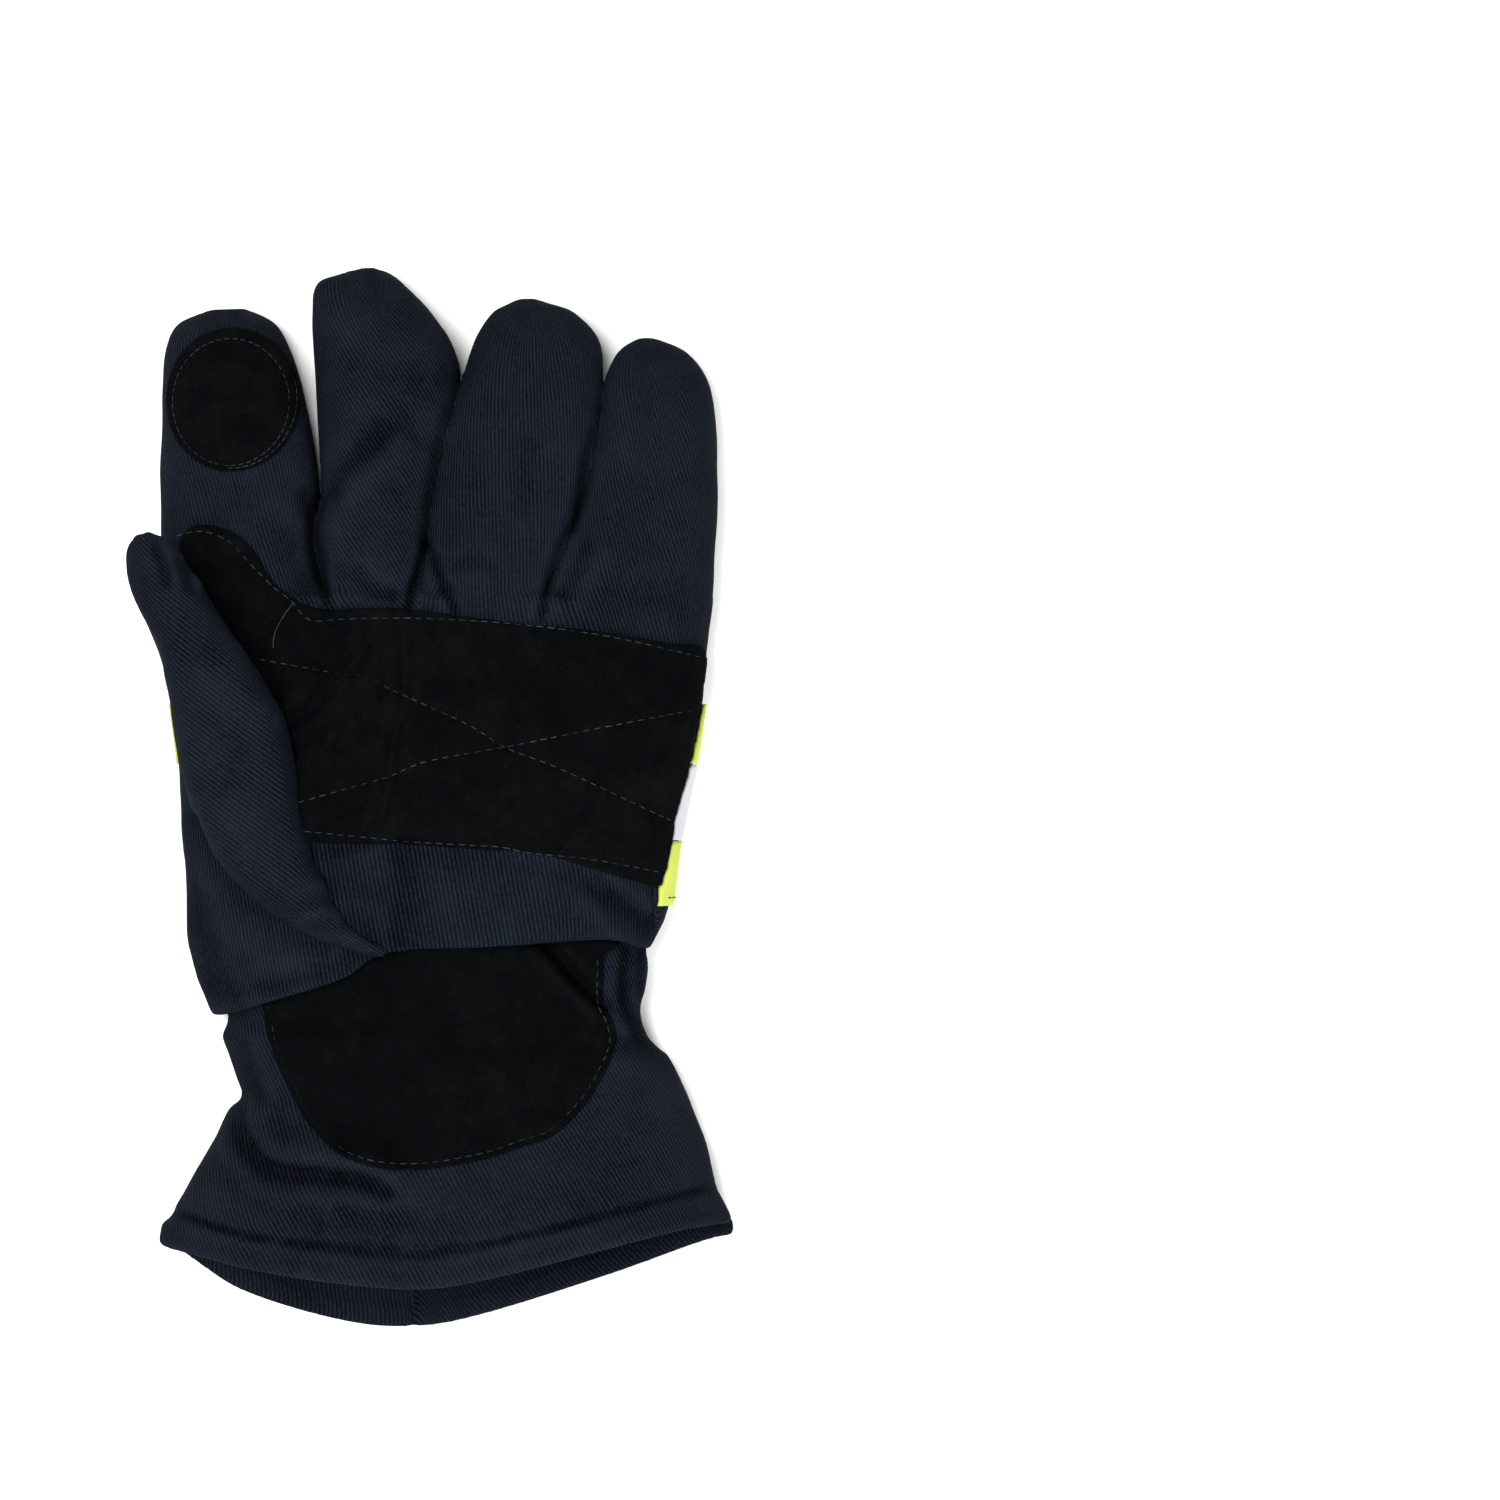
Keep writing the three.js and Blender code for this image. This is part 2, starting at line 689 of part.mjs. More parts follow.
const glove = new THREE.Group();
glove.add(
  piece("palm_panel", shell.subtract(UNDER_AND_GAP), NAVY_CLOTH, CLOTH_ROUGHNESS),
  piece("back_panel", shell.intersect(UNDER_SEAM), NAVY_CLOTH, CLOTH_ROUGHNESS),
  piece("thumb", thumbPiece(), NAVY_CLOTH, CLOTH_ROUGHNESS),
  piece("palm_patch", palmPatch(), BLACK_SUEDE, SUEDE_ROUGHNESS),
  piece("index_tip_patch", indexTipPatch(), BLACK_SUEDE, SUEDE_ROUGHNESS),
  piece("wrist_patch", wristPatch(), BLACK_SUEDE, SUEDE_ROUGHNESS),
  piece("cuff_front", cuffShell(FRONT_HEM).subtract(UNDER_AND_GAP), NAVY_CLOTH, CLOTH_ROUGHNESS),
  piece("cuff_back", cuffShell(BACK_HEM).intersect(UNDER_SEAM), NAVY_CLOTH, CLOTH_ROUGHNESS),
  piece("tape_lime_upper", tapeStrip(TAPE_TOP, limeEnd + PIECE_GAP / 2), LIME_TAPE, TAPE_ROUGHNESS),
  piece(
    "tape_silver",
    tapeStrip(limeEnd - PIECE_GAP / 2, silverEnd + PIECE_GAP / 2),
    SILVER_TAPE,
    TAPE_ROUGHNESS,
  ),
  piece("tape_lime_lower", tapeStrip(silverEnd - PIECE_GAP / 2, TAPE_BOTTOM), LIME_TAPE, TAPE_ROUGHNESS),
);

// The origin goes to the middle of the bottom of the whole glove
const box = new THREE.Box3().setFromObject(glove);
const middle = box.getCenter(new THREE.Vector3());
glove.position.set(-middle.x, -middle.y, -box.min.z);

export default glove;
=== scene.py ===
import math

import bpy
import numpy as np
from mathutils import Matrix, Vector


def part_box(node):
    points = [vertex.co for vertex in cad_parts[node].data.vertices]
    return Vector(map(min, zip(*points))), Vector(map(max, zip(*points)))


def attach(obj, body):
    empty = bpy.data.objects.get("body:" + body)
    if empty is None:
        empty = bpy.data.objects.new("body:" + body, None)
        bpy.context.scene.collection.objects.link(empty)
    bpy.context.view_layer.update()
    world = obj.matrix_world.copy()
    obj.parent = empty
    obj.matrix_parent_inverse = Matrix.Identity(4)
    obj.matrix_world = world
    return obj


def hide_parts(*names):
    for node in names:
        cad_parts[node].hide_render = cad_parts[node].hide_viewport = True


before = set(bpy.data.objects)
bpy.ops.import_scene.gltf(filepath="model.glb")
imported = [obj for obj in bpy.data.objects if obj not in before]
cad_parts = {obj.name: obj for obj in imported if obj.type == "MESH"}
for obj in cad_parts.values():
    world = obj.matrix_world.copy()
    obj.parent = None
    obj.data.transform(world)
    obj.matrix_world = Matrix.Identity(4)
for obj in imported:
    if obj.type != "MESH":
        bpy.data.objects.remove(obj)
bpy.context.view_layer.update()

# A left-hand firefighter glove that lies palm up. Lengths are in mm and the frame is the one that
# the glove was drawn in, until place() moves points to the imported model's frame in metres.

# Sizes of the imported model
WALL = 2.6
PATCH = 1.2
TAPE = 0.8
GAP = 0.3
KNUCKLE_LINE = 52.0
INDEX_EDGE = -70.6
PALM_LENGTH = 94.0
PALM_THICKNESS = 27.0
FINGER_THICKNESS = 23.0
SEAM_HEIGHT = 8.0
MIDDLE_LENGTH = 87.5
THUMB_LENGTH = 128.0
THUMB_WIDTH = 30.0
THUMB_THICKNESS = 24.0
WRIST_WIDTH = 109.0
CUFF_LENGTH = 86.0
CUFF_BACK_EXTRA = 12.0
CUFF_THICKNESS = 25.0
CUFF_TUCK = 9.0
TUCK_CLEARANCE = 1.2
HEM_DEPTH = 9.5
TAPE_TOP = 24.6
LIME_WIDTH = 18.4
SILVER_WIDTH = 16.2
TAPE_ROOM = 1.5
SEAM_RISE = 8.0
SEAM_FALL = 14.0
FINGER_SQUARENESS = 2.75
PALM_SQUARENESS = 2.7
PRESSED = 1.3

# Parts of the tape as the photo shows them, with a wider silver and a narrower upper lime than in
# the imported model
SEEN_LIME_WIDTH = 15.9
SEEN_SILVER_WIDTH = 20.0

# Height above which the cloth has the folds of its upper side, and over which they set in
UPPER_FROM = 7.0
UPPER_OVER = 9.0
# Height from which the cloth is laid out flat for its ribs, over the top and down the side
CLOTH_TOP = 24.0
# Where the side seam starts to rise and where it has risen, as shares of the knuckle width
SEAM_TURN = (0.2, 0.39)
# Steps along lines that are drawn from the picture and along outlines
LINE_STEP = 1.5
OUTLINE_STEP = 1.0

# The camera looks straight down on a picture of 1500 by 1500
PICTURE = 1500
CAMERA_HEIGHT = 1500.0
CAMERA_X = 84.8
CAMERA_Y = 12.5
VIEW_WIDTH = 397.5
PIXEL = VIEW_WIDTH / PICTURE

# Fingers: share of the length past the knuckle line, left and right edge as shares of the width
# from the middle of the root, height as a share of the finger's thickness
INDEX_ROWS = [
    (-0.2, -0.46, 0.49, 0.95),
    (0.02, -0.5, 0.488, 0.98),
    (0.129, -0.497, 0.441, 0.97),
    (0.247, -0.494, 0.42, 0.95),
    (0.367, -0.49, 0.445, 0.95),
    (0.44, -0.487, 0.438, 0.96),
    (0.52, -0.484, 0.418, 0.97),
    (0.72, -0.484, 0.345, 0.95),
    (0.86, -0.465, 0.27, 0.84),
    (0.95, -0.39, 0.18, 0.68),
    (1.0, -0.21, 0.0, 0.45),
]
MIDDLE_ROWS = [
    (-0.18, -0.37, 0.35, 0.93),
    (0.02, -0.385, 0.362, 0.98),
    (0.112, -0.46, 0.37, 1.02),
    (0.215, -0.492, 0.39, 1.03),
    (0.31, -0.425, 0.42, 1.0),
    (0.48, -0.435, 0.512, 1.0),
    (0.69, -0.465, 0.62, 1.0),
    (0.85, -0.488, 0.42, 0.92),
    (0.95, -0.45, 0.18, 0.72),
    (0.985, -0.26, 0.06, 0.56),
    (1.0, -0.12, -0.04, 0.46),
]
RING_ROWS = [
    (-0.2, -0.42, 0.42, 0.95),
    (0.02, -0.43, 0.43, 1.0),
    (0.2, -0.4, 0.58, 1.0),
    (0.5, -0.28, 0.765, 1.0),
    (0.72, -0.15, 0.805, 0.97),
    (0.86, -0.05, 0.775, 0.88),
    (0.95, 0.07, 0.6, 0.7),
    (0.985, 0.19, 0.42, 0.56),
    (1.0, 0.26, 0.33, 0.46),
]
LITTLE_ROWS = [
    (-0.22, -0.52, 0.48, 0.95),
    (0.02, -0.535, 0.541, 1.0),
    (0.19, -0.41, 0.556, 0.97),
    (0.4, -0.28, 0.571, 0.95),
    (0.62, -0.21, 0.568, 0.93),
    (0.82, -0.155, 0.52, 0.84),
    (0.94, -0.07, 0.38, 0.66),
    (1.0, 0.06, 0.18, 0.45),
]
# rows, width, length, left and right edge of the root as shares of the width, direction of the
# ribs in degrees down to the right, and how far the cloth is pressed into its neighbour on the
# left and on the right, near the tip
FINGERS = [
    (INDEX_ROWS, 44.0, 76.8, (-0.5, 0.495), 72, (0.0, 0.3)),
    (MIDDLE_ROWS, 34.0, MIDDLE_LENGTH, (-0.362, 0.362), 52, (0.3, 1.3)),
    (RING_ROWS, 37.0, 79.4, (-0.43, 0.43), 86, (1.3, 1.1)),
    (LITTLE_ROWS, 40.0, 69.0, (-0.535, 0.541), 68, (1.1, 0.0)),
]
FINGER_SLIT = 0.8
# The lower half of each finger is pressed this much further into its neighbours
ROOT_PRESS = 1.5
THUMB_RIBS = 37
PALM_RIBS = 80
CUFF_RIBS = 60

# Palm: share of its length below the knuckle line, edges as shares of the knuckle width from its
# middle, height as a share of its thickness, share of the room under it that the tape needs
PALM_ROWS = [
    (0.0, -0.5, 0.498, 0.84, 0),
    (0.14, -0.491, 0.488, 0.93, 0),
    (0.27, -0.483, 0.483, 0.98, 0.9),
    (0.38, -0.472, 0.474, 1.0, 1),
    (0.48, -0.464, 0.463, 1.0, 1),
    (0.7, -0.457, 0.435, 0.98, 1),
    (0.84, -0.452, 0.425, 0.95, 1),
    (0.9, -0.449, 0.411, 0.93, 0.9),
    (0.968, -0.445, 0.387, 0.92, 0.6),
    (1.06, -0.43, 0.38, 0.92, 0.2),
    (1.17, -0.402, 0.37, 0.92, 0),
    (1.26, -0.39, 0.365, 0.92, 0),
]
# Fold of the palm over the wrist: share across, share of the palm's length below the knuckles
FOLD_ROWS = [
    (-0.55, 1.175),
    (-0.39, 1.162),
    (-0.27, 1.11),
    (-0.16, 1.055),
    (-0.08, 0.985),
    (0.11, 0.968),
    (0.31, 0.95),
    (0.39, 0.98),
    (0.55, 0.98),
]
# Thumb: aside and ahead as shares of its length from where it starts, height as a share of the
# palm's thickness, width and thickness as shares of its own
THUMB_ROWS = [
    (0.0, 0.0, 0.86, 0.1, 0.25),
    (-0.094, 0.047, 0.87, 0.32, 0.5),
    (-0.18, 0.117, 0.85, 0.56, 0.78),
    (-0.242, 0.203, 0.82, 0.8, 1.02),
    (-0.28, 0.297, 0.88, 0.9, 1.15),
    (-0.3, 0.398, 1.04, 0.96, 1.12),
    (-0.325, 0.5, 1.25, 0.87, 1.02),
    (-0.375, 0.617, 1.4, 0.66, 0.88),
    (-0.438, 0.742, 1.36, 0.54, 0.72),
    (-0.474, 0.82, 1.3, 0.38, 0.5),
    (-0.485, 0.85, 1.28, 0.14, 0.28),
]
THUMB_START = (-0.085, 0.985)
# Cuff: share of its length below the fold, edges as shares of the wrist's width from its middle,
# height as a share of its thickness, 1 where its left is tucked into the hand
CUFF_ROWS = [
    (-CUFF_TUCK / CUFF_LENGTH, -0.5, 0.484, 0.78, 1),
    (0.0, -0.5, 0.492, 0.78, 1),
    (0.04, -0.52, 0.494, 0.79, 1),
    (0.1, -0.53, 0.486, 0.79, 1),
    (0.17, -0.535, 0.474, 0.8, 1),
    (0.24, -0.538, 0.492, 0.84, 0),
    (0.28, -0.527, 0.52, 0.85, 0),
    (0.31, -0.518, 0.545, 0.86, 0),
    (0.42, -0.491, 0.587, 0.89, 0),
    (0.47, -0.524, 0.604, 0.91, 0),
    (0.57, -0.56, 0.637, 0.96, 0),
    (0.7, -0.62, 0.66, 1.02, 0),
    (0.79, -0.66, 0.69, 1.06, 0),
    (0.87, -0.685, 0.7, 1.09, 0),
    (1.25, -0.66, 0.67, 1.14, 0),
]
CUFF_MIDDLE_ASIDE = 0.018
# Height of the side seam beside the tape: place along the hand in mm, height
SIDE_SEAM_ROWS = [
    (-28.4, 18.0),
    (-5.0, 16.5),
    (9.6, 13.8),
    (24.6, 11.0),
]
# Hems: aside of the cuff's middle as a share of the wrist's width, share of the cuff's length
# below the fold
FRONT_HEM_ROWS = [
    (-0.8, 0.87),
    (-0.67, 0.885),
    (-0.41, 0.955),
    (-0.08, 1.0),
    (0.13, 0.965),
    (0.37, 0.89),
    (0.61, 0.82),
    (0.8, 0.81),
]
BACK_HEM_ROWS = [
    (-0.8, 0.74),
    (-0.67, 0.775),
    (-0.5, 0.9),
    (-0.25, 0.985),
    (-0.07, 1.0),
    (0.1, 0.965),
    (0.4, 0.86),
    (0.67, 0.755),
    (0.8, 0.74),
]
# Outlines of the suede: aside of the middle as a share of the knuckles' or the wrist's width, share
# of the palm's length below the knuckles or of the cuff's below the fold
PALM_PATCH_ROWS = [
    (-0.445, -0.19),
    (-0.41, -0.207),
    (-0.36, -0.186),
    (-0.322, -0.134),
    (-0.295, -0.064),
    (-0.265, -0.016),
    (-0.2, 0.027),
    (-0.06, 0.025),
    (0.12, 0.06),
    (0.3, 0.09),
    (0.42, 0.122),
    (0.487, 0.142),
    (0.478, 0.3),
    (0.46, 0.46),
    (0.437, 0.62),
    (0.427, 0.72),
    (0.417, 0.8),
    (0.34, 0.776),
    (0.19, 0.71),
    (0.08, 0.697),
    (-0.06, 0.683),
    (-0.24, 0.676),
    (-0.36, 0.66),
    (-0.42, 0.5),
    (-0.46, 0.2),
    (-0.468, -0.08),
]
WRIST_PATCH_ROWS = [
    (-0.44, 0.0),
    (-0.432, 0.15),
    (-0.408, 0.28),
    (-0.365, 0.4),
    (-0.318, 0.505),
    (-0.222, 0.605),
    (-0.078, 0.64),
    (0.09, 0.612),
    (0.2, 0.568),
    (0.27, 0.535),
    (0.352, 0.43),
    (0.405, 0.31),
    (0.418, 0.24),
    (0.405, 0.175),
    (0.388, 0.13),
    (0.388, 0.0),
    (0.37, -0.06),
    (-0.4, -0.06),
]
# The fingertip's patch: its sizes, how far aside it lies and its share of the way along the finger
TIP_PATCH_WIDTH = 35.4
TIP_PATCH_LENGTH = 38.4
TIP_PATCH_ASIDE = 0.7
TIP_PATCH_ALONG = 0.68

# Creases, by points of the picture along each: width and depth in mm, and how far the cloth on
# the left of the line, seen along it, lies higher than on its right
HAND_FOLDS = [
    ([(396, 420), (377, 443), (346, 471), (325, 506), (312, 528)], 2.6, 1.3, 1.7),
    ([(440, 392), (412, 408), (384, 436), (360, 462)], 5.0, 0.8, 0.9),
    ([(458, 362), (434, 380), (400, 388)], 4.0, 0.8, 0.3),
    ([(434, 362), (392, 372), (335, 370)], 4.5, 0.8, 0.3),
    ([(450, 400), (437, 446), (428, 494), (423, 540), (424, 556)], 1.15, 0.5, 0.0),
    ([(588, 440), (575, 514), (561, 542), (553, 567), (544, 600), (540, 628)], 1.15, 1.0, 0.0),
    ([(322, 493), (312, 528), (316, 562), (327, 597), (334, 622)], 1.15, 1.1, 0.5),
    ([(350, 562), (372, 588), (402, 596)], 1.8, 1.1, 0.3),
    ([(423, 534), (420, 562), (411, 596), (409, 616)], 1.0, 1.7, 0.5),
    ([(424, 534), (437, 570), (452, 604), (458, 622)], 1.0, 1.7, -0.5),
    ([(432, 600), (446, 588), (462, 590)], 1.3, 0.9, 0.0),
    ([(166, 472), (230, 490), (292, 470)], 4.0, 0.8, 0.0),
    ([(182, 520), (240, 514), (300, 556)], 4.0, 0.8, 0.0),
    ([(300, 480), (313, 520), (326, 574)], 2.0, 1.2, 0.4),
    ([(530, 430), (527, 475), (518, 520)], 3.0, 0.7, 0.0),
    ([(446, 574), (470, 562), (502, 572)], 2.0, 0.8, 0.0),
    ([(556, 604), (574, 572), (590, 532)], 2.4, 1.1, 0.0),
    ([(560, 612), (620, 590), (690, 600)], 5.0, 0.8, 0.0),
    ([(394, 836), (403, 895), (398, 954)], 4.0, 1.2, -2.2),
    ([(586, 875), (613, 900), (634, 916), (654, 928)], 2.2, 1.7, 0.4),
    ([(600, 908), (632, 930), (652, 940)], 1.8, 0.8, 0.3),
    ([(300, 850), (400, 853), (500, 862), (600, 884)], 3.0, 0.6, 0.0),
    ([(186, 850), (206, 930), (226, 1000)], 3.0, 0.8, 0.4),
    ([(196, 800), (222, 862), (268, 915), (336, 952)], 3.4, 1.6, 0.6),
    ([(250, 992), (330, 968), (385, 948)], 2.5, 0.9, 0.0),
    ([(378, 620), (363, 653), (347, 681), (335, 725), (325, 766)], 1.7, 1.2, 0.4),
    ([(402, 620), (404, 697), (394, 740), (388, 790), (375, 842)], 1.5, 1.2, -0.4),
    ([(281, 722), (310, 710), (338, 678)], 2.4, 2.2, 0.9),
    ([(268, 740), (300, 742), (330, 726)], 2.4, 0.8, 0.0),
    ([(590, 770), (640, 760), (690, 764)], 4.0, 0.6, 0.3),
    ([(470, 640), (540, 680), (590, 720)], 5.0, 0.6, 0.3),
]
THUMB_FOLDS = [
    ([(152, 540), (166, 562), (174, 592)], 1.3, 1.8, 0.8),
    ([(172, 552), (187, 571), (197, 600)], 1.3, 1.4, 0.7),
    ([(300, 930), (345, 924), (385, 944)], 1.7, 1.3, 0.0),
    ([(290, 905), (330, 903), (376, 928)], 2.0, 1.0, 0.0),
    ([(200, 800), (240, 870), (300, 922)], 4.0, 1.0, 0.5),
    ([(200, 640), (235, 664), (262, 700)], 3.0, 0.6, 0.0),
    ([(176, 690), (214, 716), (252, 760)], 3.0, 0.5, 0.0),
]
CUFF_FOLDS = [
    (
        [(244, 1090), (238, 1126), (254, 1154), (276, 1170), (318, 1173), (366, 1180), (398, 1196)],
        2.3,
        3.0,
        1.9,
    ),
    ([(330, 1200), (375, 1214), (424, 1218)], 2.8, 1.1, 0.4),
    ([(246, 1091), (224, 1106), (200, 1146)], 2.2, 1.6, -0.9),
    ([(600, 1040), (640, 1046), (672, 1066), (684, 1084)], 2.4, 1.6, 1.2),
    ([(630, 944), (626, 1000), (644, 1040)], 1.5, 1.7, 0.6),
    ([(640, 945), (637, 985), (648, 1020)], 1.2, 1.0, 0.3),
    ([(534, 934), (570, 974), (612, 1016)], 1.5, 2.6, -2.0),
    ([(236, 1032), (250, 1076), (264, 1112)], 1.8, 1.2, 0.5),
    ([(300, 1222), (420, 1232), (520, 1212)], 5.0, 0.9, 0.0),
    ([(450, 1165), (520, 1134), (600, 1078)], 6.0, 0.8, 0.0),
    ([(660, 1180), (690, 1140), (700, 1100)], 5.0, 0.8, 0.0),
]
# Lines of stitches, by points of the picture
PALM_TOP_STITCHES = [
    (174, 536), (200, 531), (228, 541), (252, 566), (272, 586), (291, 601), (310, 620),
    (344, 619), (382, 618), (438, 619), (516, 624), (595, 634), (650, 645), (702, 657),
]
PALM_BOTTOM_STITCHES = [
    (303, 831), (375, 838), (416, 842), (469, 845), (501, 847), (532, 853), (595, 860), (662, 873),
]
CROSS_STITCHES = [
    [(258, 659), (335, 673), (366, 677), (397, 692), (469, 725), (507, 748), (563, 770), (673, 822)],
    [(297, 803), (353, 787), (391, 776), (425, 762), (482, 751), (516, 745), (595, 729), (698, 709)],
]
FRONT_HEM_STITCHES = [
    (186, 1216), (246, 1236), (310, 1241), (350, 1245), (410, 1246), (470, 1243), (510, 1237),
    (590, 1220), (682, 1196), (708, 1184),
]
LOOSE_THREAD = [(293, 602), (283, 618), (275, 634), (273, 648)]
# Painted shade in the cloth's creases, folds and hollows, below zero, and painted light on its ridges
# and lit bulges, above zero: points of the picture, width in mm, strength
HAND_SHADES = [
    ([(452, 386), (437, 446), (428, 494), (423, 540), (422, 560)], 0.95, -2.2),
    ([(590, 428), (575, 514), (561, 542), (553, 567), (544, 600), (541, 618)], 0.95, -2.2),
    ([(319, 478), (312, 528), (316, 562), (327, 597), (331, 612)], 0.95, -1.8),
    ([(422, 550), (411, 596), (409, 610)], 0.9, -2.0),
    ([(424, 540), (437, 570), (452, 604), (458, 616)], 0.9, -2.0),
    ([(300, 700), (320, 690), (338, 676)], 3.0, -1.0),
    ([(322, 858), (346, 900), (376, 938)], 9.0, -1.3),
    ([(420, 905), (520, 915), (600, 925)], 12.0, -0.4),
    ([(160, 846), (182, 920), (210, 996)], 9.0, -0.9),
    ([(240, 1000), (310, 980), (380, 950)], 5.0, -0.8),
    ([(612, 898), (634, 914), (656, 932)], 3.0, -1.9),
    ([(660, 900), (672, 925), (676, 950)], 3.0, -0.8),
    ([(322, 372), (380, 378), (450, 376)], 6.0, -0.4),
    ([(395, 420), (360, 460), (335, 500)], 4.0, -0.7),
    ([(440, 560), (405, 600)], 5.0, -0.7),
    ([(340, 570), (380, 590), (420, 606)], 4.0, -0.6),
]
# The cuff's painted shade also darkens the groove of the hem's stitches
CUFF_SHADES = [
    (FRONT_HEM_STITCHES, 0.9, -2.4),
    ([(240, 1100), (241, 1132), (264, 1163), (318, 1173), (366, 1181), (396, 1195)], 2.2, -1.5),
    ([(420, 1150), (380, 1196), (404, 1186)], 3.0, 0.8),
    ([(640, 1060), (680, 1110), (700, 1160)], 11.0, 0.7),
    ([(636, 944), (628, 1000), (648, 1044)], 5.0, -1.2),
    ([(622, 950), (624, 1000), (638, 1042)], 1.4, -4.0),
    ([(642, 950), (640, 1000), (652, 1036)], 1.2, -3.5),
    ([(300, 1216), (400, 1226), (500, 1214), (600, 1190)], 5.0, -0.6),
    ([(200, 1150), (190, 1200)], 6.0, 0.5),
]
# Painted shade on the threads where they run in the shade of folds and creases: points of the picture,
# width in mm, strength
THREAD_SHADES = [
    ([(335, 673), (357, 676), (378, 684)], 2.4, -1.3),
    ([(262, 996), (272, 1060), (296, 1112), (326, 1150)], 6.0, -1.5),
    ([(560, 1120), (520, 1142)], 5.0, -0.5),
]
# Pale streaks of the suede: points of the picture, width in mm, strength
SCUFFS = [
    ([(380, 618), (363, 653), (347, 681), (335, 725), (325, 766)], 1.6, 1.4),
    ([(402, 618), (404, 697), (394, 740), (388, 790), (375, 846)], 1.3, 1.4),
    ([(366, 640), (372, 690), (366, 740)], 4.5, 0.7),
    ([(470, 830), (560, 800), (660, 790)], 7.0, 0.45),
    ([(600, 860), (650, 800), (690, 740)], 6.0, 0.45),
]


def dense(rows, steps=12):
    """Every column of a table blended smoothly through its rows, with steps rows for each of them."""
    rows = np.array(rows, float)
    count = len(rows)
    start = np.repeat(np.arange(count - 1), steps)
    t = np.tile(np.arange(steps) / steps, count - 1)[:, None]
    before = rows[np.maximum(start - 1, 0)]
    here = rows[start]
    after = rows[start + 1]
    further = rows[np.minimum(start + 2, count - 1)]
    blended = (
        here * (2 * t**3 - 3 * t**2 + 1)
        + (after - before) / 2 * (t**3 - 2 * t**2 + t)
        + after * (3 * t**2 - 2 * t**3)
        + (further - here) / 2 * (t**3 - t**2)
    )
    return np.vstack([blended, rows[-1:]])


def finger_roots():
    """The middle of each finger's root, and where the last finger ends."""
    middles = []
    edge = INDEX_EDGE
    for _, width, _, (left, right), _, _ in FINGERS:
        middles.append(edge - left * width)
        edge += (right - left) * width + FINGER_SLIT
    return middles, edge - FINGER_SLIT


FINGER_ROOTS, LITTLE_EDGE = finger_roots()
KNUCKLE_WIDTH = LITTLE_EDGE - INDEX_EDGE
PALM_MIDDLE = INDEX_EDGE + KNUCKLE_WIDTH / 2
FOLD_LINE = KNUCKLE_LINE - PALM_LENGTH
CUFF_MIDDLE = PALM_MIDDLE + CUFF_MIDDLE_ASIDE * WRIST_WIDTH
TAPE_BOTTOM = TAPE_TOP - 2 * LIME_WIDTH - SILVER_WIDTH

# The drawing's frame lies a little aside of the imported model's
SHIFT = np.array(
    [
        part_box("palm_panel")[0][0] * 1000 - INDEX_EDGE,
        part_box("palm_panel")[1][1] * 1000 - KNUCKLE_LINE - MIDDLE_LENGTH,
        0.0,
    ]
)


def place(points):
    """Points in mm of the drawing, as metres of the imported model."""
    return (np.asarray(points, float) + SHIFT) / 1000


def smoothstep(share):
    share = np.clip(share, 0, 1)
    return share * share * (3 - 2 * share)


def mix(start, end, share):
    return start + (end - start) * share


def seen(points, height):
    """Points of the picture, as x and y of the drawing at a height over the floor."""
    points = np.array(points, float)
    scale = PIXEL * (1 - height / CAMERA_HEIGHT)
    x = CAMERA_X + (points[:, 0] - PICTURE / 2) * scale
    y = CAMERA_Y + (PICTURE / 2 - points[:, 1]) * scale
    return np.stack([x, y], axis=1)


def hump(distance):
    """1 at no distance, and softly less on both sides of it."""
    return np.exp(-(distance**2))


def unit(vectors):
    return vectors / np.linalg.norm(vectors, axis=-1, keepdims=True)


def runs_along(points):
    """How far along a line each of its points lies."""
    return np.concatenate([[0], np.cumsum(np.linalg.norm(np.diff(points, axis=0), axis=1))])


def places_along(points, runs, along):
    """Points of a line, or their directions, at distances along it."""
    return np.stack([np.interp(along, runs, column) for column in points.T], axis=-1)


def even_line(points, step=LINE_STEP, closed=False):
    """A smooth line through points, cut into even lengths of about step."""
    points = np.array(points, float)
    if closed:
        points = np.vstack([points[-1], points, points[:2]])
        fine = dense(points)[12:-12]
    else:
        fine = dense(points)
    runs = runs_along(fine)
    count = max(int(round(runs[-1] / step)), 1)
    return places_along(fine, runs, np.linspace(0, runs[-1], count + 1))


# A plan, seen from above, holds the relief of the cloth
PLAN_STEP = 0.7
PLAN_X = np.arange(-95, 95, PLAN_STEP)
PLAN_Y = np.arange(-160, 160, PLAN_STEP)
MAP_X, MAP_Y = np.meshgrid(PLAN_X, PLAN_Y, indexing="ij")


def on_plan(relief, x, y):
    """The plan's value at places between its points."""
    across = np.clip((x - PLAN_X[0]) / PLAN_STEP, 0, len(PLAN_X) - 1.001)
    along = np.clip((y - PLAN_Y[0]) / PLAN_STEP, 0, len(PLAN_Y) - 1.001)
    i = across.astype(int)
    j = along.astype(int)
    s = across - i
    t = along - j
    lower = mix(relief[i, j], relief[i + 1, j], s)
    upper = mix(relief[i, j + 1], relief[i + 1, j + 1], s)
    return mix(lower, upper, t)


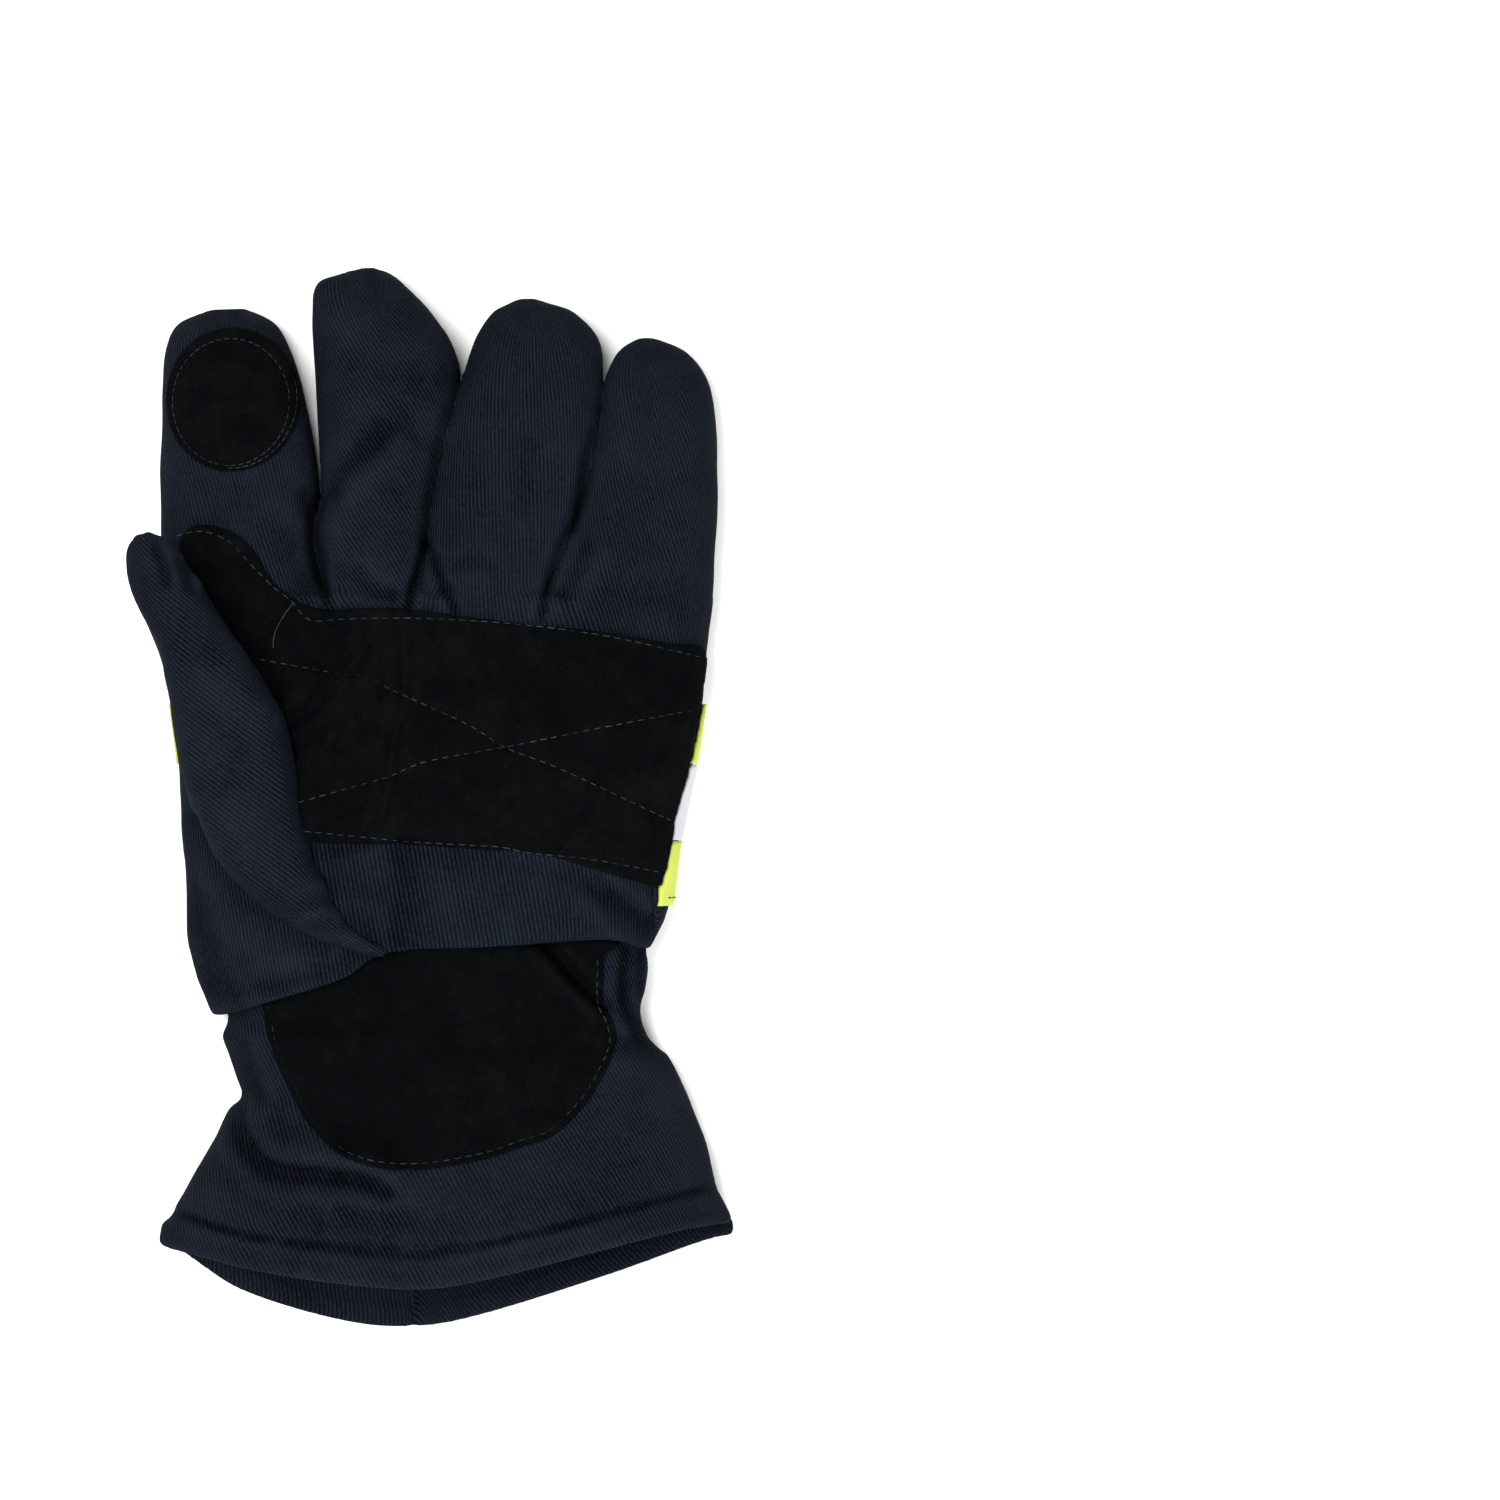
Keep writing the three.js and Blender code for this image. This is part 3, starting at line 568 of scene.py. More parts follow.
def nearest(line, x, y):
    """Distance to a line, below zero on its right, and how far along it the nearest point is."""
    best = np.full(x.shape, 1e12)
    share = np.zeros(x.shape)
    sign = np.ones(x.shape)
    steps = len(line) - 1
    for i in range(steps):
        start = line[i]
        run = line[i + 1] - start
        t = ((x - start[0]) * run[0] + (y - start[1]) * run[1]) / (run @ run)
        t = np.clip(t, 0, 1)
        aside = x - start[0] - t * run[0]
        ahead = y - start[1] - t * run[1]
        square = aside**2 + ahead**2
        nearer = square < best
        best = np.where(nearer, square, best)
        share = np.where(nearer, (i + t) / steps, share)
        sign = np.where(nearer, np.sign(run[0] * ahead - run[1] * aside), sign)
    return np.sqrt(best) * np.where(sign < 0, -1, 1), share


def around(line, margin):
    """The part of the plan around a line."""
    low = line.min(axis=0) - margin
    high = line.max(axis=0) + margin
    columns = slice(*np.searchsorted(PLAN_X, [low[0], high[0]]))
    rows = slice(*np.searchsorted(PLAN_Y, [low[1], high[1]]))
    return columns, rows


def add_folds(relief, folds, height):
    """Creases with soft shoulders, and a step where the cloth lies over itself."""
    for points, width, depth, step in folds:
        line = even_line(seen(points, height))
        part = around(line, 7 * width)
        side, share = nearest(line, MAP_X[part], MAP_Y[part])
        reach = np.abs(side) / width
        fade = min(0.25, 3.5 / (LINE_STEP * (len(line) - 1)))
        ends = smoothstep(share / fade) * smoothstep((1 - share) / fade)
        crease = -depth * hump(reach)
        shoulders = 0.45 * depth * hump((reach - 2.3) / 1.3)
        overlap = step * np.tanh(side / width) * hump(reach / 3.5)
        relief[part] += ends * (crease + shoulders + overlap)


def add_groove(relief, line, width, depth):
    part = around(line, 4 * width)
    side, _ = nearest(line, MAP_X[part], MAP_Y[part])
    relief[part] -= depth * hump(side / width)


def blurred(plan, across, along):
    by_x = np.fft.fftfreq(len(PLAN_X), PLAN_STEP)[:, None]
    by_y = np.fft.fftfreq(len(PLAN_Y), PLAN_STEP)[None, :]
    keep = np.exp(-2 * (math.pi * by_x * across) ** 2 - 2 * (math.pi * by_y * along) ** 2)
    return np.fft.ifft2(np.fft.fft2(plan) * keep).real


def soft_noise(seed, across, along):
    """Even random hills over the plan, of about the given breadths."""
    rough = np.random.default_rng(seed).standard_normal(MAP_X.shape)
    hills = blurred(rough, across, along)
    return hills / hills.std()


def unevenness(*hills):
    """Random hills added up, each given as height, seed and breadth across and along."""
    return sum(height * soft_noise(seed, across, along) for height, seed, across, along in hills)


def under_relief(seed):
    """Small hollows of the side that the glove lies on."""
    return -0.05 - 0.12 * soft_noise(seed, 5.0, 5.0)


def ridges(relief):
    """Where the cloth stands proud, up to 1, or lies in a crease, down to -1."""
    return np.clip((relief - blurred(relief, 3.0, 3.0)) / 0.7, -1, 1)


def shades(lines, height):
    """Pale places, above zero, and dark places, below zero, along lines of the picture."""
    pale = np.zeros(MAP_X.shape)
    for points, width, strength in lines:
        line = even_line(seen(points, height))
        part = around(line, 3 * width)
        side, _ = nearest(line, MAP_X[part], MAP_Y[part])
        pale[part] += strength * hump(side / width)
    return pale * (0.8 + 0.3 * soft_noise(31, 1.2, 2.2))


def closed_distance(outline, x, y):
    """Distance to a closed outline, below zero inside it."""
    side, _ = nearest(outline, x, y)
    inside = np.zeros(x.shape, bool)
    for (ax, ay), (bx, by) in zip(outline[:-1], outline[1:]):
        if ay == by:
            continue
        crosses = (ay > y) != (by > y)
        inside ^= crosses & (x < ax + (y - ay) * (bx - ax) / (by - ay))
    return np.where(inside, -1, 1) * np.abs(side)


def beyond(line, x, y):
    """Distance past a line that runs from left to right, above zero on the wrist's side."""
    edge = np.interp(x, line[:, 0], line[:, 1])
    slope = np.interp(x, line[:, 0], np.gradient(line[:, 1], line[:, 0]))
    return (edge - y) / np.sqrt(1 + slope**2)


def plan_rows(rows, middle, width, top, length):
    rows = np.array(rows, float)
    return np.stack([middle + rows[:, 0] * width, top - rows[:, 1] * length], axis=1)


def hand_line(rows, closed=False):
    points = plan_rows(rows, PALM_MIDDLE, KNUCKLE_WIDTH, KNUCKLE_LINE, PALM_LENGTH)
    return even_line(points, OUTLINE_STEP, closed)


def cuff_line(rows, closed=False, length=CUFF_LENGTH):
    points = plan_rows(rows, CUFF_MIDDLE, WRIST_WIDTH, FOLD_LINE, length)
    return even_line(points, OUTLINE_STEP, closed)


FOLD = hand_line(FOLD_ROWS)
FRONT_HEM = cuff_line(FRONT_HEM_ROWS)
BACK_HEM = cuff_line(BACK_HEM_ROWS, length=CUFF_LENGTH + CUFF_BACK_EXTRA)
PALM_PATCH = hand_line(PALM_PATCH_ROWS, closed=True)
WRIST_PATCH = cuff_line(WRIST_PATCH_ROWS, closed=True)


def tip_patch_outline(inset=0.0, first=0, last=360):
    """The patch's edge, or a line inside it, between two directions in degrees."""
    tip = dense(INDEX_ROWS)
    _, width, length, *_ = FINGERS[0]
    left = np.interp(TIP_PATCH_ALONG, tip[:, 0], tip[:, 1])
    right = np.interp(TIP_PATCH_ALONG, tip[:, 0], tip[:, 2])
    centre_x = FINGER_ROOTS[0] + TIP_PATCH_ASIDE + (left + right) / 2 * width
    centre_y = KNUCKLE_LINE + TIP_PATCH_ALONG * length
    turn = np.radians(np.linspace(first, last, 73))
    x = centre_x + (TIP_PATCH_WIDTH / 2 - inset) * np.cos(turn)
    y = centre_y + (TIP_PATCH_LENGTH / 2 - inset) * np.sin(turn)
    return np.stack([x, y], axis=1)


# Heights at which the lines of the picture lie
HAND_HEIGHT = 24
THUMB_HEIGHT = 36
CUFF_HEIGHT = 22


def hand_relief():
    relief = unevenness((0.42, 3, 7.0, 8.0), (0.2, 13, 3.6, 3.6), (0.09, 4, 1.8, 1.8))
    add_folds(relief, HAND_FOLDS, HAND_HEIGHT)
    near_fold = beyond(FOLD, MAP_X, MAP_Y)
    relief += 0.35 * smoothstep((near_fold + 6) / 4)
    return relief


def thumb_relief():
    relief = unevenness((0.35, 5, 5.0, 6.0), (0.16, 14, 3.0, 3.0), (0.08, 6, 1.8, 1.8))
    add_folds(relief, THUMB_FOLDS, THUMB_HEIGHT)
    return relief


def cuff_relief():
    relief = unevenness((0.45, 7, 8.0, 6.0), (0.22, 15, 3.6, 3.6), (0.09, 8, 1.8, 1.8))
    add_folds(relief, CUFF_FOLDS, CUFF_HEIGHT)
    from_edge = -beyond(FRONT_HEM, MAP_X, MAP_Y)
    puckers = 0.1 * soft_noise(9, 1.6, 1.6)
    relief += 0.55 * smoothstep((HEM_DEPTH - from_edge) / 1.4)
    relief -= (1.3 + 3 * puckers) * hump(from_edge - HEM_DEPTH + 0.4)
    relief += 0.5 * hump((from_edge - 1.6) / 1.4)
    return relief


HAND_TOP = hand_relief()
HAND_RIDGES = ridges(HAND_TOP)
# Paler where the cloth stands proud, which is wear, and darker in its creases, which is painted shade,
# plus the painted shade and light of the tables above
HAND_WEAR_AND_SHADE = HAND_RIDGES + shades(HAND_SHADES, HAND_HEIGHT)
HAND_UNDER = under_relief(11)
THUMB_TOP = thumb_relief()
THUMB_RIDGES = ridges(THUMB_TOP)
CUFF_TOP = cuff_relief()
CUFF_RIDGES = ridges(CUFF_TOP)
# The same wear and painted shade and light for the cuff
CUFF_WEAR_AND_SHADE = CUFF_RIDGES + shades(CUFF_SHADES, CUFF_HEIGHT)
CUFF_UNDER = under_relief(12)


class Grid:
    """Points of a box where distances to a surface are worked out."""

    def __init__(self, low, high, step):
        self.low = np.array(low, float)
        self.step = np.array(step, float)
        counts = np.ceil((np.array(high) - self.low) / self.step).astype(int) + 1
        self.axes = [self.low[i] + self.step[i] * np.arange(counts[i]) for i in range(3)]
        self.x = self.axes[0][:, None, None]
        self.y = self.axes[1][None, :, None]
        self.z = self.axes[2][None, None, :]
        self.map_x, self.map_y = np.meshgrid(self.axes[0], self.axes[1], indexing="ij")

    def relief(self, plan):
        return on_plan(plan, self.map_x, self.map_y)[:, :, None]


def join(first, second, blend):
    """Two forms in one, with a soft fillet between them."""
    near = np.maximum(blend - np.abs(first - second), 0) / blend
    return np.minimum(first, second) - near**2 * blend / 4


def cut(form, outside, rounding):
    """What of a form lies where outside is below zero, with a rounded edge."""
    return -join(-form, -np.broadcast_to(outside, form.shape), rounding)


def section(across, half, up, rise, squareness):
    """Distance to a rounded section, given the place in it and how far it reaches."""
    a = np.abs(across) / half
    b = np.abs(up) / rise
    reach = (a**squareness + b**squareness) ** (1 / squareness)
    lean = np.sqrt((a ** (squareness - 1) / half) ** 2 + (b ** (squareness - 1) / rise) ** 2)
    lean = lean / np.maximum(reach, 1e-3) ** (squareness - 1)
    return (reach - 1) / np.maximum(lean, 1 / np.maximum(half, rise))


def lying(grid, y_rows, left, right, low, high, squareness):
    """Distance to a form that lies on its back, from its sections along Y."""
    order = np.argsort(y_rows)
    span = [np.interp(grid.y, y_rows[order], column[order]) for column in (left, right, low, high)]
    left, right, low, high = span
    seam = np.minimum(SEAM_HEIGHT, (low + high) / 2)
    up = grid.z - seam
    rise = np.where(up > 0, high - seam, PRESSED * (seam - low))
    form = section(grid.x - (left + right) / 2, (right - left) / 2, up, rise, squareness)
    form = np.maximum(form, low - grid.z)
    slope = np.gradient(form, grid.step[1], axis=1)
    form = form / np.sqrt(1 + np.minimum(slope**2, 9))
    past = np.maximum(grid.y - y_rows.max(), y_rows.min() - grid.y)
    return np.where(past > 0, np.hypot(np.maximum(form, 0), past), np.maximum(form, past))


def upper_side(z):
    """1 on the upper side of the hand and the cuff, 0 on the side that they lie on."""
    return smoothstep((z - UPPER_FROM) / UPPER_OVER)


def with_relief(form, grid, top, under):
    """A form with the relief of its two sides, on the floor."""
    upper = upper_side(grid.z)
    form = form - grid.relief(top) * upper - grid.relief(under) * (1 - upper)
    return np.maximum(form, -grid.z)


def palm_span(y):
    """Left and right edge, underside and top of the palm at places along it."""
    rows = np.array(PALM_ROWS, float)
    along = (KNUCKLE_LINE - y) / PALM_LENGTH
    left, right, high, lift = [np.interp(along, rows[:, 0], rows[:, i]) for i in range(1, 5)]
    return (
        PALM_MIDDLE + left * KNUCKLE_WIDTH,
        PALM_MIDDLE + right * KNUCKLE_WIDTH,
        lift * TAPE_ROOM,
        high * PALM_THICKNESS,
    )


# How softly the fingers run into the palm, between two fingers and elsewhere
WEB = 7.0
FLUSH_WEB = 1.5
WEB_BREADTH = 6.0


def finger_edges():
    """For each finger: its rows' y, left and right edges and heights, in mm."""
    for root, (rows, width, length, _, _, (left_press, right_press)) in zip(FINGER_ROOTS, FINGERS):
        blended = dense(rows)
        lower = ROOT_PRESS * (1 - smoothstep((blended[:, 0] - 0.32) / 0.3))
        yield (
            KNUCKLE_LINE + blended[:, 0] * length,
            root + blended[:, 1] * width - left_press - lower * (left_press > 0.5),
            root + blended[:, 2] * width + right_press + lower * (right_press > 0.5),
            blended[:, 3] * FINGER_THICKNESS,
        )


def finger_creases(y):
    """Where each two neighbouring fingers meet, at places along the hand."""
    edges = list(finger_edges())
    return [
        (np.interp(y, y_left, right) + np.interp(y, y_right, left)) / 2
        for (y_left, _, right, _), (y_right, left, _, _) in zip(edges[:-1], edges[1:])
    ]


def hand_form(grid):
    blended = dense(PALM_ROWS)
    y_rows = KNUCKLE_LINE - blended[:, 0] * PALM_LENGTH
    palm = lying(grid, y_rows, *palm_span(y_rows), PALM_SQUARENESS)
    hand = None
    web = FLUSH_WEB
    for crease in finger_creases(KNUCKLE_LINE):
        web = web + (WEB - FLUSH_WEB) * hump((grid.x - crease) / WEB_BREADTH)
    for y_finger, left, right, high in finger_edges():
        low = np.zeros(len(high))
        finger = lying(grid, y_finger, left, right, low, high, FINGER_SQUARENESS)
        finger = join(palm, finger, web)
        hand = finger if hand is None else np.minimum(hand, finger)
    return with_relief(hand, grid, HAND_TOP, HAND_UNDER)


def thumb_line():
    """Points along the middle of the thumb: x, y, height, half width, half thickness."""
    rows = dense(THUMB_ROWS, 5)
    x = PALM_MIDDLE + THUMB_START[0] * KNUCKLE_WIDTH + rows[:, 0] * THUMB_LENGTH
    y = KNUCKLE_LINE - THUMB_START[1] * PALM_LENGTH + rows[:, 1] * THUMB_LENGTH
    height = rows[:, 2] * PALM_THICKNESS
    return np.stack(
        [x, y, height, rows[:, 3] * THUMB_WIDTH / 2, rows[:, 4] * THUMB_THICKNESS / 2], axis=1
    )


def thumb_form(grid):
    line = thumb_line()
    _, share = nearest(line[:, :2], grid.map_x, grid.map_y)
    place_on = share * (len(line) - 1)
    rows = np.arange(len(line))
    x, y, height, half, thick = [np.interp(place_on, rows, line[:, i]) for i in range(5)]
    ahead_x = np.interp(place_on, rows, np.gradient(line[:, 0]))
    ahead_y = np.interp(place_on, rows, np.gradient(line[:, 1]))
    length = np.hypot(ahead_x, ahead_y)
    offset_x = grid.map_x - x
    offset_y = grid.map_y - y
    past = np.abs(offset_x * ahead_x + offset_y * ahead_y) / length
    past = np.where((share <= 0) | (share >= 1), past, 0)[:, :, None]
    aside = ((offset_x * ahead_y - offset_y * ahead_x) / length)[:, :, None]
    above = grid.z - height[:, :, None]
    form = section(aside, half[:, :, None], above, thick[:, :, None], FINGER_SQUARENESS)
    form = np.where(past > 0, np.hypot(np.maximum(form, 0), past), form)
    upper = smoothstep(above / 6 + 0.5)
    return form - grid.relief(THUMB_TOP) * upper


def cuff_form(grid):
    rows = dense(CUFF_ROWS)
    y_rows = FOLD_LINE - rows[:, 0] * CUFF_LENGTH
    hand_left, _, hand_low, hand_high = palm_span(y_rows)
    inset = WALL + TUCK_CLEARANCE
    tucked = np.clip(rows[:, 4], 0, 1)
    left = mix(CUFF_MIDDLE + rows[:, 1] * WRIST_WIDTH, hand_left + inset, tucked)
    right = CUFF_MIDDLE + rows[:, 2] * WRIST_WIDTH
    low = (hand_low + inset) * tucked
    high = mix(rows[:, 3] * CUFF_THICKNESS, hand_high - inset - PATCH - GAP, tucked)
    form = lying(grid, y_rows, left, right, low, high, PALM_SQUARENESS)
    return with_relief(form, grid, CUFF_TOP, CUFF_UNDER)


def side_seam(y):
    """Height of the side seam at the little finger's side, at places along the hand."""
    start = (TAPE_BOTTOM - SEAM_FALL, SEAM_HEIGHT)
    end = (TAPE_TOP + SEAM_RISE, SEAM_HEIGHT)
    return np.interp(y, *zip(start, *SIDE_SEAM_ROWS, end))


def seam_level(grid):
    """Height of the side seam over the plan. It rises beside the tape."""
    raised = side_seam(grid.y)
    start, end = SEAM_TURN
    across = ((grid.x - PALM_MIDDLE) / KNUCKLE_WIDTH - start) / (end - start)
    return mix(SEAM_HEIGHT, raised, np.clip(across, 0, 1))


class Field:
    """Distances to a surface at the points of a grid, below zero inside."""

    def __init__(self, grid, values):
        self.grid = grid
        self.values = values.astype(np.float32)
        self.slopes = None

    def _between(self, array, points):
        place_in = (points - self.grid.low) / self.grid.step
        place_in = np.clip(place_in, 0, np.array(array.shape) - 1.001)
        i = place_in.astype(int)
        t = place_in - i
        total = 0
        for corner in np.ndindex(2, 2, 2):
            weight = np.prod(np.where(corner, t, 1 - t), axis=1)
            total = total + weight * array[tuple((i + corner).T)]
        return total

    def at(self, points):
        return self._between(self.values, points)

    def slope(self, points):
        if self.slopes is None:
            self.slopes = np.gradient(self.values, *self.grid.step)
        return np.stack([self._between(s, points) for s in self.slopes], axis=1)

    def normal(self, points):
        slope = self.slope(points)
        return slope / np.maximum(np.linalg.norm(slope, axis=1, keepdims=True), 1e-6)

    def settle(self, points, level=0.0, steps=2, most=0.4):
        """Points moved on to the surface."""
        for _ in range(steps):
            slope = self.slope(points)
            steep = np.maximum((slope**2).sum(axis=1), 0.2)
            move = (self.at(points) - level) / steep
            points = points - np.clip(move, -most, most)[:, None] * slope
        return points

    def top(self, x, y, level=0.0):
        """Height of the highest surface over places of the plan."""
        z_axis = self.grid.axes[2]
        columns = np.stack(
            [self.at(np.stack([x, y, np.full(len(x), z)], axis=1)) for z in z_axis], axis=1
        )
        solid = columns < level
        last = len(z_axis) - 1 - np.argmax(solid[:, ::-1], axis=1)
        last = np.where(solid.any(axis=1), np.minimum(last, len(z_axis) - 2), 0)
        here = columns[np.arange(len(x)), last]
        above = columns[np.arange(len(x)), last + 1]
        share = np.clip((level - here) / np.where(above == here, 1, above - here), 0, 1)
        return z_axis[last] + share * self.grid.step[2]

    def surface(self):
        """Points and four-sided faces of the surface."""
        values = self.values
        cells = np.array(values.shape) - 1
        corners = list(np.ndindex(2, 2, 2))
        inside = values < 0
        count = np.zeros(cells, np.int8)
        for a, b, c in corners:
            count += inside[a : a + cells[0], b : b + cells[1], c : c + cells[2]]
        active = (count > 0) & (count < 8)
        ids = np.full(cells, -1, np.int64)
        ids[active] = np.arange(active.sum())
        cell = np.argwhere(active)
        total = np.zeros((len(cell), 3))
        crossings = np.zeros(len(cell))
        for start in corners:
            for axis in range(3):
                if start[axis]:
                    continue
                end = list(start)
                end[axis] = 1
                first = values[tuple((cell + start).T)].astype(float)
                second = values[tuple((cell + end).T)].astype(float)
                crossed = (first < 0) != (second < 0)
                share = np.where(crossed, first / np.where(crossed, first - second, 1), 0)
                point = np.array(start, float) + share[:, None] * (np.array(end) - np.array(start))
                total += np.where(crossed[:, None], point, 0)
                crossings += crossed
        points = self.grid.low + self.grid.step * (cell + total / crossings[:, None])
        points = self.settle(points)
        faces = []
        for axis in range(3):
            near = [slice(1, -1)] * 3
            near[axis] = slice(0, -1)
            far = list(near)
            far[axis] = slice(1, None)
            here = inside[tuple(near)]
            changed = here != inside[tuple(far)]
            edge = np.argwhere(changed)
            leaving = here[changed]
            other = [i for i in range(3) if i != axis]
            edge[:, other] += 1
            around_edge = []
            for a, b in ((0, 0), (1, 0), (1, 1), (0, 1)):
                near_cell = edge.copy()
                near_cell[:, other[0]] -= a
                near_cell[:, other[1]] -= b
                around_edge.append(ids[tuple(near_cell.T)])
            quads = np.stack(around_edge, axis=1)
            turned = leaving if axis == 1 else ~leaving
            quads[turned] = quads[turned][:, ::-1]
            faces.append(quads)
        return points, np.vstack(faces)


def ribs_uv(points, faces, x_out, direction):
    """Places on the cloth in mm, turned so that the first runs across the twill's ribs."""
    corner = points[faces]
    unrolled = x_out[faces]
    turn = np.radians(direction)[:, None]
    u = unrolled * np.sin(turn) + corner[:, :, 1] * np.cos(turn)
    v = unrolled * np.cos(turn) - corner[:, :, 1] * np.sin(turn)
    return np.stack([u, v], axis=2).reshape(-1, 2)


def unfolded(points, plan):
    """Points of the upper side as they lay before the folds, so that the ribs run evenly."""
    lowered = points.copy()
    folds = on_plan(plan, points[:, 0], points[:, 1])
    lowered[:, 2] -= folds * upper_side(points[:, 2])
    return lowered


def unroll(points, middle, top):
    """How far each point lies from the middle line, over the top and down the side."""
    across = points[:, 0] - middle
    drop = np.maximum(top - points[:, 2], 0)
    return across + np.sign(across) * drop * smoothstep(np.abs(across) / 6)


def laid_out(points, middle, plan, under):
    """Where each point lies across the cloth when it is spread out flat."""
    if under:
        return middle + unroll(points * np.array([1, 1, -1]), middle, 0.0)
    return middle + unroll(unfolded(points, plan), middle, CLOTH_TOP)


def wear_and_shade_on(plan, points, low=8.0, high=16.0):
    """The plan's wear and painted shade at points of a piece, on its upper side only."""
    return on_plan(plan, points[:, 0], points[:, 1]) * smoothstep((points[:, 2] - low) / (high - low))


def make_piece(name, points, faces, material, uv=None, wear_and_shade=None):
    mesh = bpy.data.meshes.new(name)
    mesh.from_pydata(place(points).tolist(), [], [list(map(int, face)) for face in faces])
    mesh.polygons.foreach_set("use_smooth", np.ones(len(mesh.polygons), bool))
    if uv is not None:
        layer = mesh.uv_layers.new(name="ribs")
        layer.data.foreach_set("uv", uv.astype(np.float32).ravel())
    # A per-point measure of wear and of painted shade and light, for the material
    if wear_and_shade is not None:
        mesh.attributes.new("wear_and_shade", "FLOAT", "POINT").data.foreach_set("value", wear_and_shade.astype(np.float32))
    mesh.materials.append(material)
    mesh.update()
    piece = bpy.data.objects.new(name, mesh)
    bpy.context.scene.collection.objects.link(piece)
    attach(piece, "root")
    return piece


def cloth_piece(name, node, points, faces, uv, wear_and_shade=None):
    """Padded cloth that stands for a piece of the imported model."""
    piece = make_piece(name, points, faces, NAVY, uv, wear_and_shade)
    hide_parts(node)


def linear(channel):
    share = channel / 255
    return share / 12.92 if share <= 0.04045 else ((share + 0.055) / 1.055) ** 2.4


def colour(red, green, blue):
    return (linear(red), linear(green), linear(blue), 1.0)


class Shader:
    """A new material with short ways to add and join its nodes."""

    def __init__(self, name, roughness, specular):
        self.material = bpy.data.materials.new(name)
        self.material.use_nodes = True
        self.nodes = self.material.node_tree.nodes
        self.links = self.material.node_tree.links
        self.surface = self.nodes["Principled BSDF"]
        self.surface.inputs["Roughness"].default_value = roughness
        self.surface.inputs["Specular IOR Level"].default_value = specular

    def add(self, kind, links=None, **values):
        node = self.nodes.new("ShaderNode" + kind)
        for key, value in values.items():
            setattr(node, key, value)
        for key, value in (links or {}).items():
            socket = node.inputs[key]
            if isinstance(value, bpy.types.NodeSocket):
                self.links.new(value, socket)
            else:
                socket.default_value = value
        return node

    def math(self, operation, first, second=0.0, third=0.0):
        node = self.add("Math", {0: first, 1: second, 2: third}, operation=operation)
        return node.outputs[0]

    def scaled(self, value, factor, offset):
        """The value times the factor, plus the offset."""
        return self.math("MULTIPLY_ADD", value, factor, offset)

    def body(self):
        """The place on the piece in metres."""
        return self.add("TexCoord").outputs["Object"]

    def wear_and_shade(self):
        """The piece's own measure of wear and painted shade and light."""
        return self.add("Attribute", attribute_name="wear_and_shade").outputs["Fac"]

    def noise(self, vector, scale, detail=2.0, roughness=0.5):
        node = self.add(
            "TexNoise", {"Vector": vector, "Scale": scale, "Detail": detail, "Roughness": roughness}
        )
        return node.outputs["Fac"]

    def ramp(self, share, stops):
        node = self.add("ValToRGB", {"Fac": share})
        elements = node.color_ramp.elements
        while len(elements) < len(stops):
            elements.new(0.5)
        for element, (position, shade) in zip(elements, stops):
            element.position = position
            element.color = shade
        return node.outputs["Color"]

    def blend(self, share, first, second):
        node = self.add("MixRGB", {"Fac": share, "Color1": first, "Color2": second})
        return node.outputs["Color"]

    def relief(self, height, depth, strength):
        bump = self.add("Bump", {"Height": height, "Distance": depth, "Strength": strength})
        self.links.new(bump.outputs["Normal"], self.surface.inputs["Normal"])

    def paint(self, shade):
        self.links.new(shade, self.surface.inputs["Base Color"])


# Pitches of the twill's ribs and yarns and of the tape's weave
RIB_PITCH = 1.14
YARN_PITCH = 0.62
WEFT_PITCH = 0.7
WARP_PITCH = 0.9


def twill(name, dark, light):
    """Heavy twill: diagonal ribs of slanted yarns, a little uneven, with soft wear and painted shade
    and light.
    """
    shader = Shader(name, 0.95, specular=0.04)
    uv = shader.add("UVMap", uv_map="ribs").outputs["UV"]
    body = shader.body()
    across = shader.add("SeparateXYZ", {0: uv})
    waver = shader.noise(uv, 0.35, 2.0)
    rib_turn = shader.math("MULTIPLY", across.outputs["X"], 2 * math.pi / RIB_PITCH)
    rib_turn = shader.scaled(waver, 2.2, rib_turn)
    rib = shader.scaled(shader.math("SINE", rib_turn), 0.5, 0.5)
    yarn_turn = shader.math("MULTIPLY", across.outputs["Y"], 2 * math.pi / YARN_PITCH)
    yarn_turn = shader.math("ADD", yarn_turn, shader.math("MULTIPLY", rib_turn, 0.5))
    yarn = shader.scaled(shader.math("SINE", yarn_turn), 0.5, 0.5)
    fuzz = shader.noise(body, 3200.0, 3.0, 0.6)
    raised = shader.scaled(shader.math("MULTIPLY", rib, yarn), 0.3, rib)
    raised = shader.scaled(fuzz, 0.5, raised)
    shader.relief(raised, 0.00016, 0.8)
    patches = shader.noise(body, 32.0, 3.0, 0.6)
    heather = shader.noise(body, 1100.0, 3.0, 0.7)
    wear_and_shade = shader.wear_and_shade()
    broken = shader.scaled(heather, 1.3, shader.scaled(yarn, 0.2, -0.05))
    clearness = shader.math("MULTIPLY", shader.noise(body, 260.0, 2.0), 1.9)
    ribbed = shader.math("MULTIPLY", shader.math("SUBTRACT", rib, 0.5), clearness)
    share = shader.math("MULTIPLY", shader.scaled(ribbed, 0.72, 0.56), broken)
    share = shader.scaled(patches, 0.5, shader.math("SUBTRACT", share, 0.15))
    # Paler where worn, with painted shade in creases and painted light on ridges, from the piece's
    # attribute
    share = shader.scaled(wear_and_shade, 0.12, share)
    shader.paint(shader.ramp(share, [(0.15, dark), (0.85, light)]))
    return shader.material


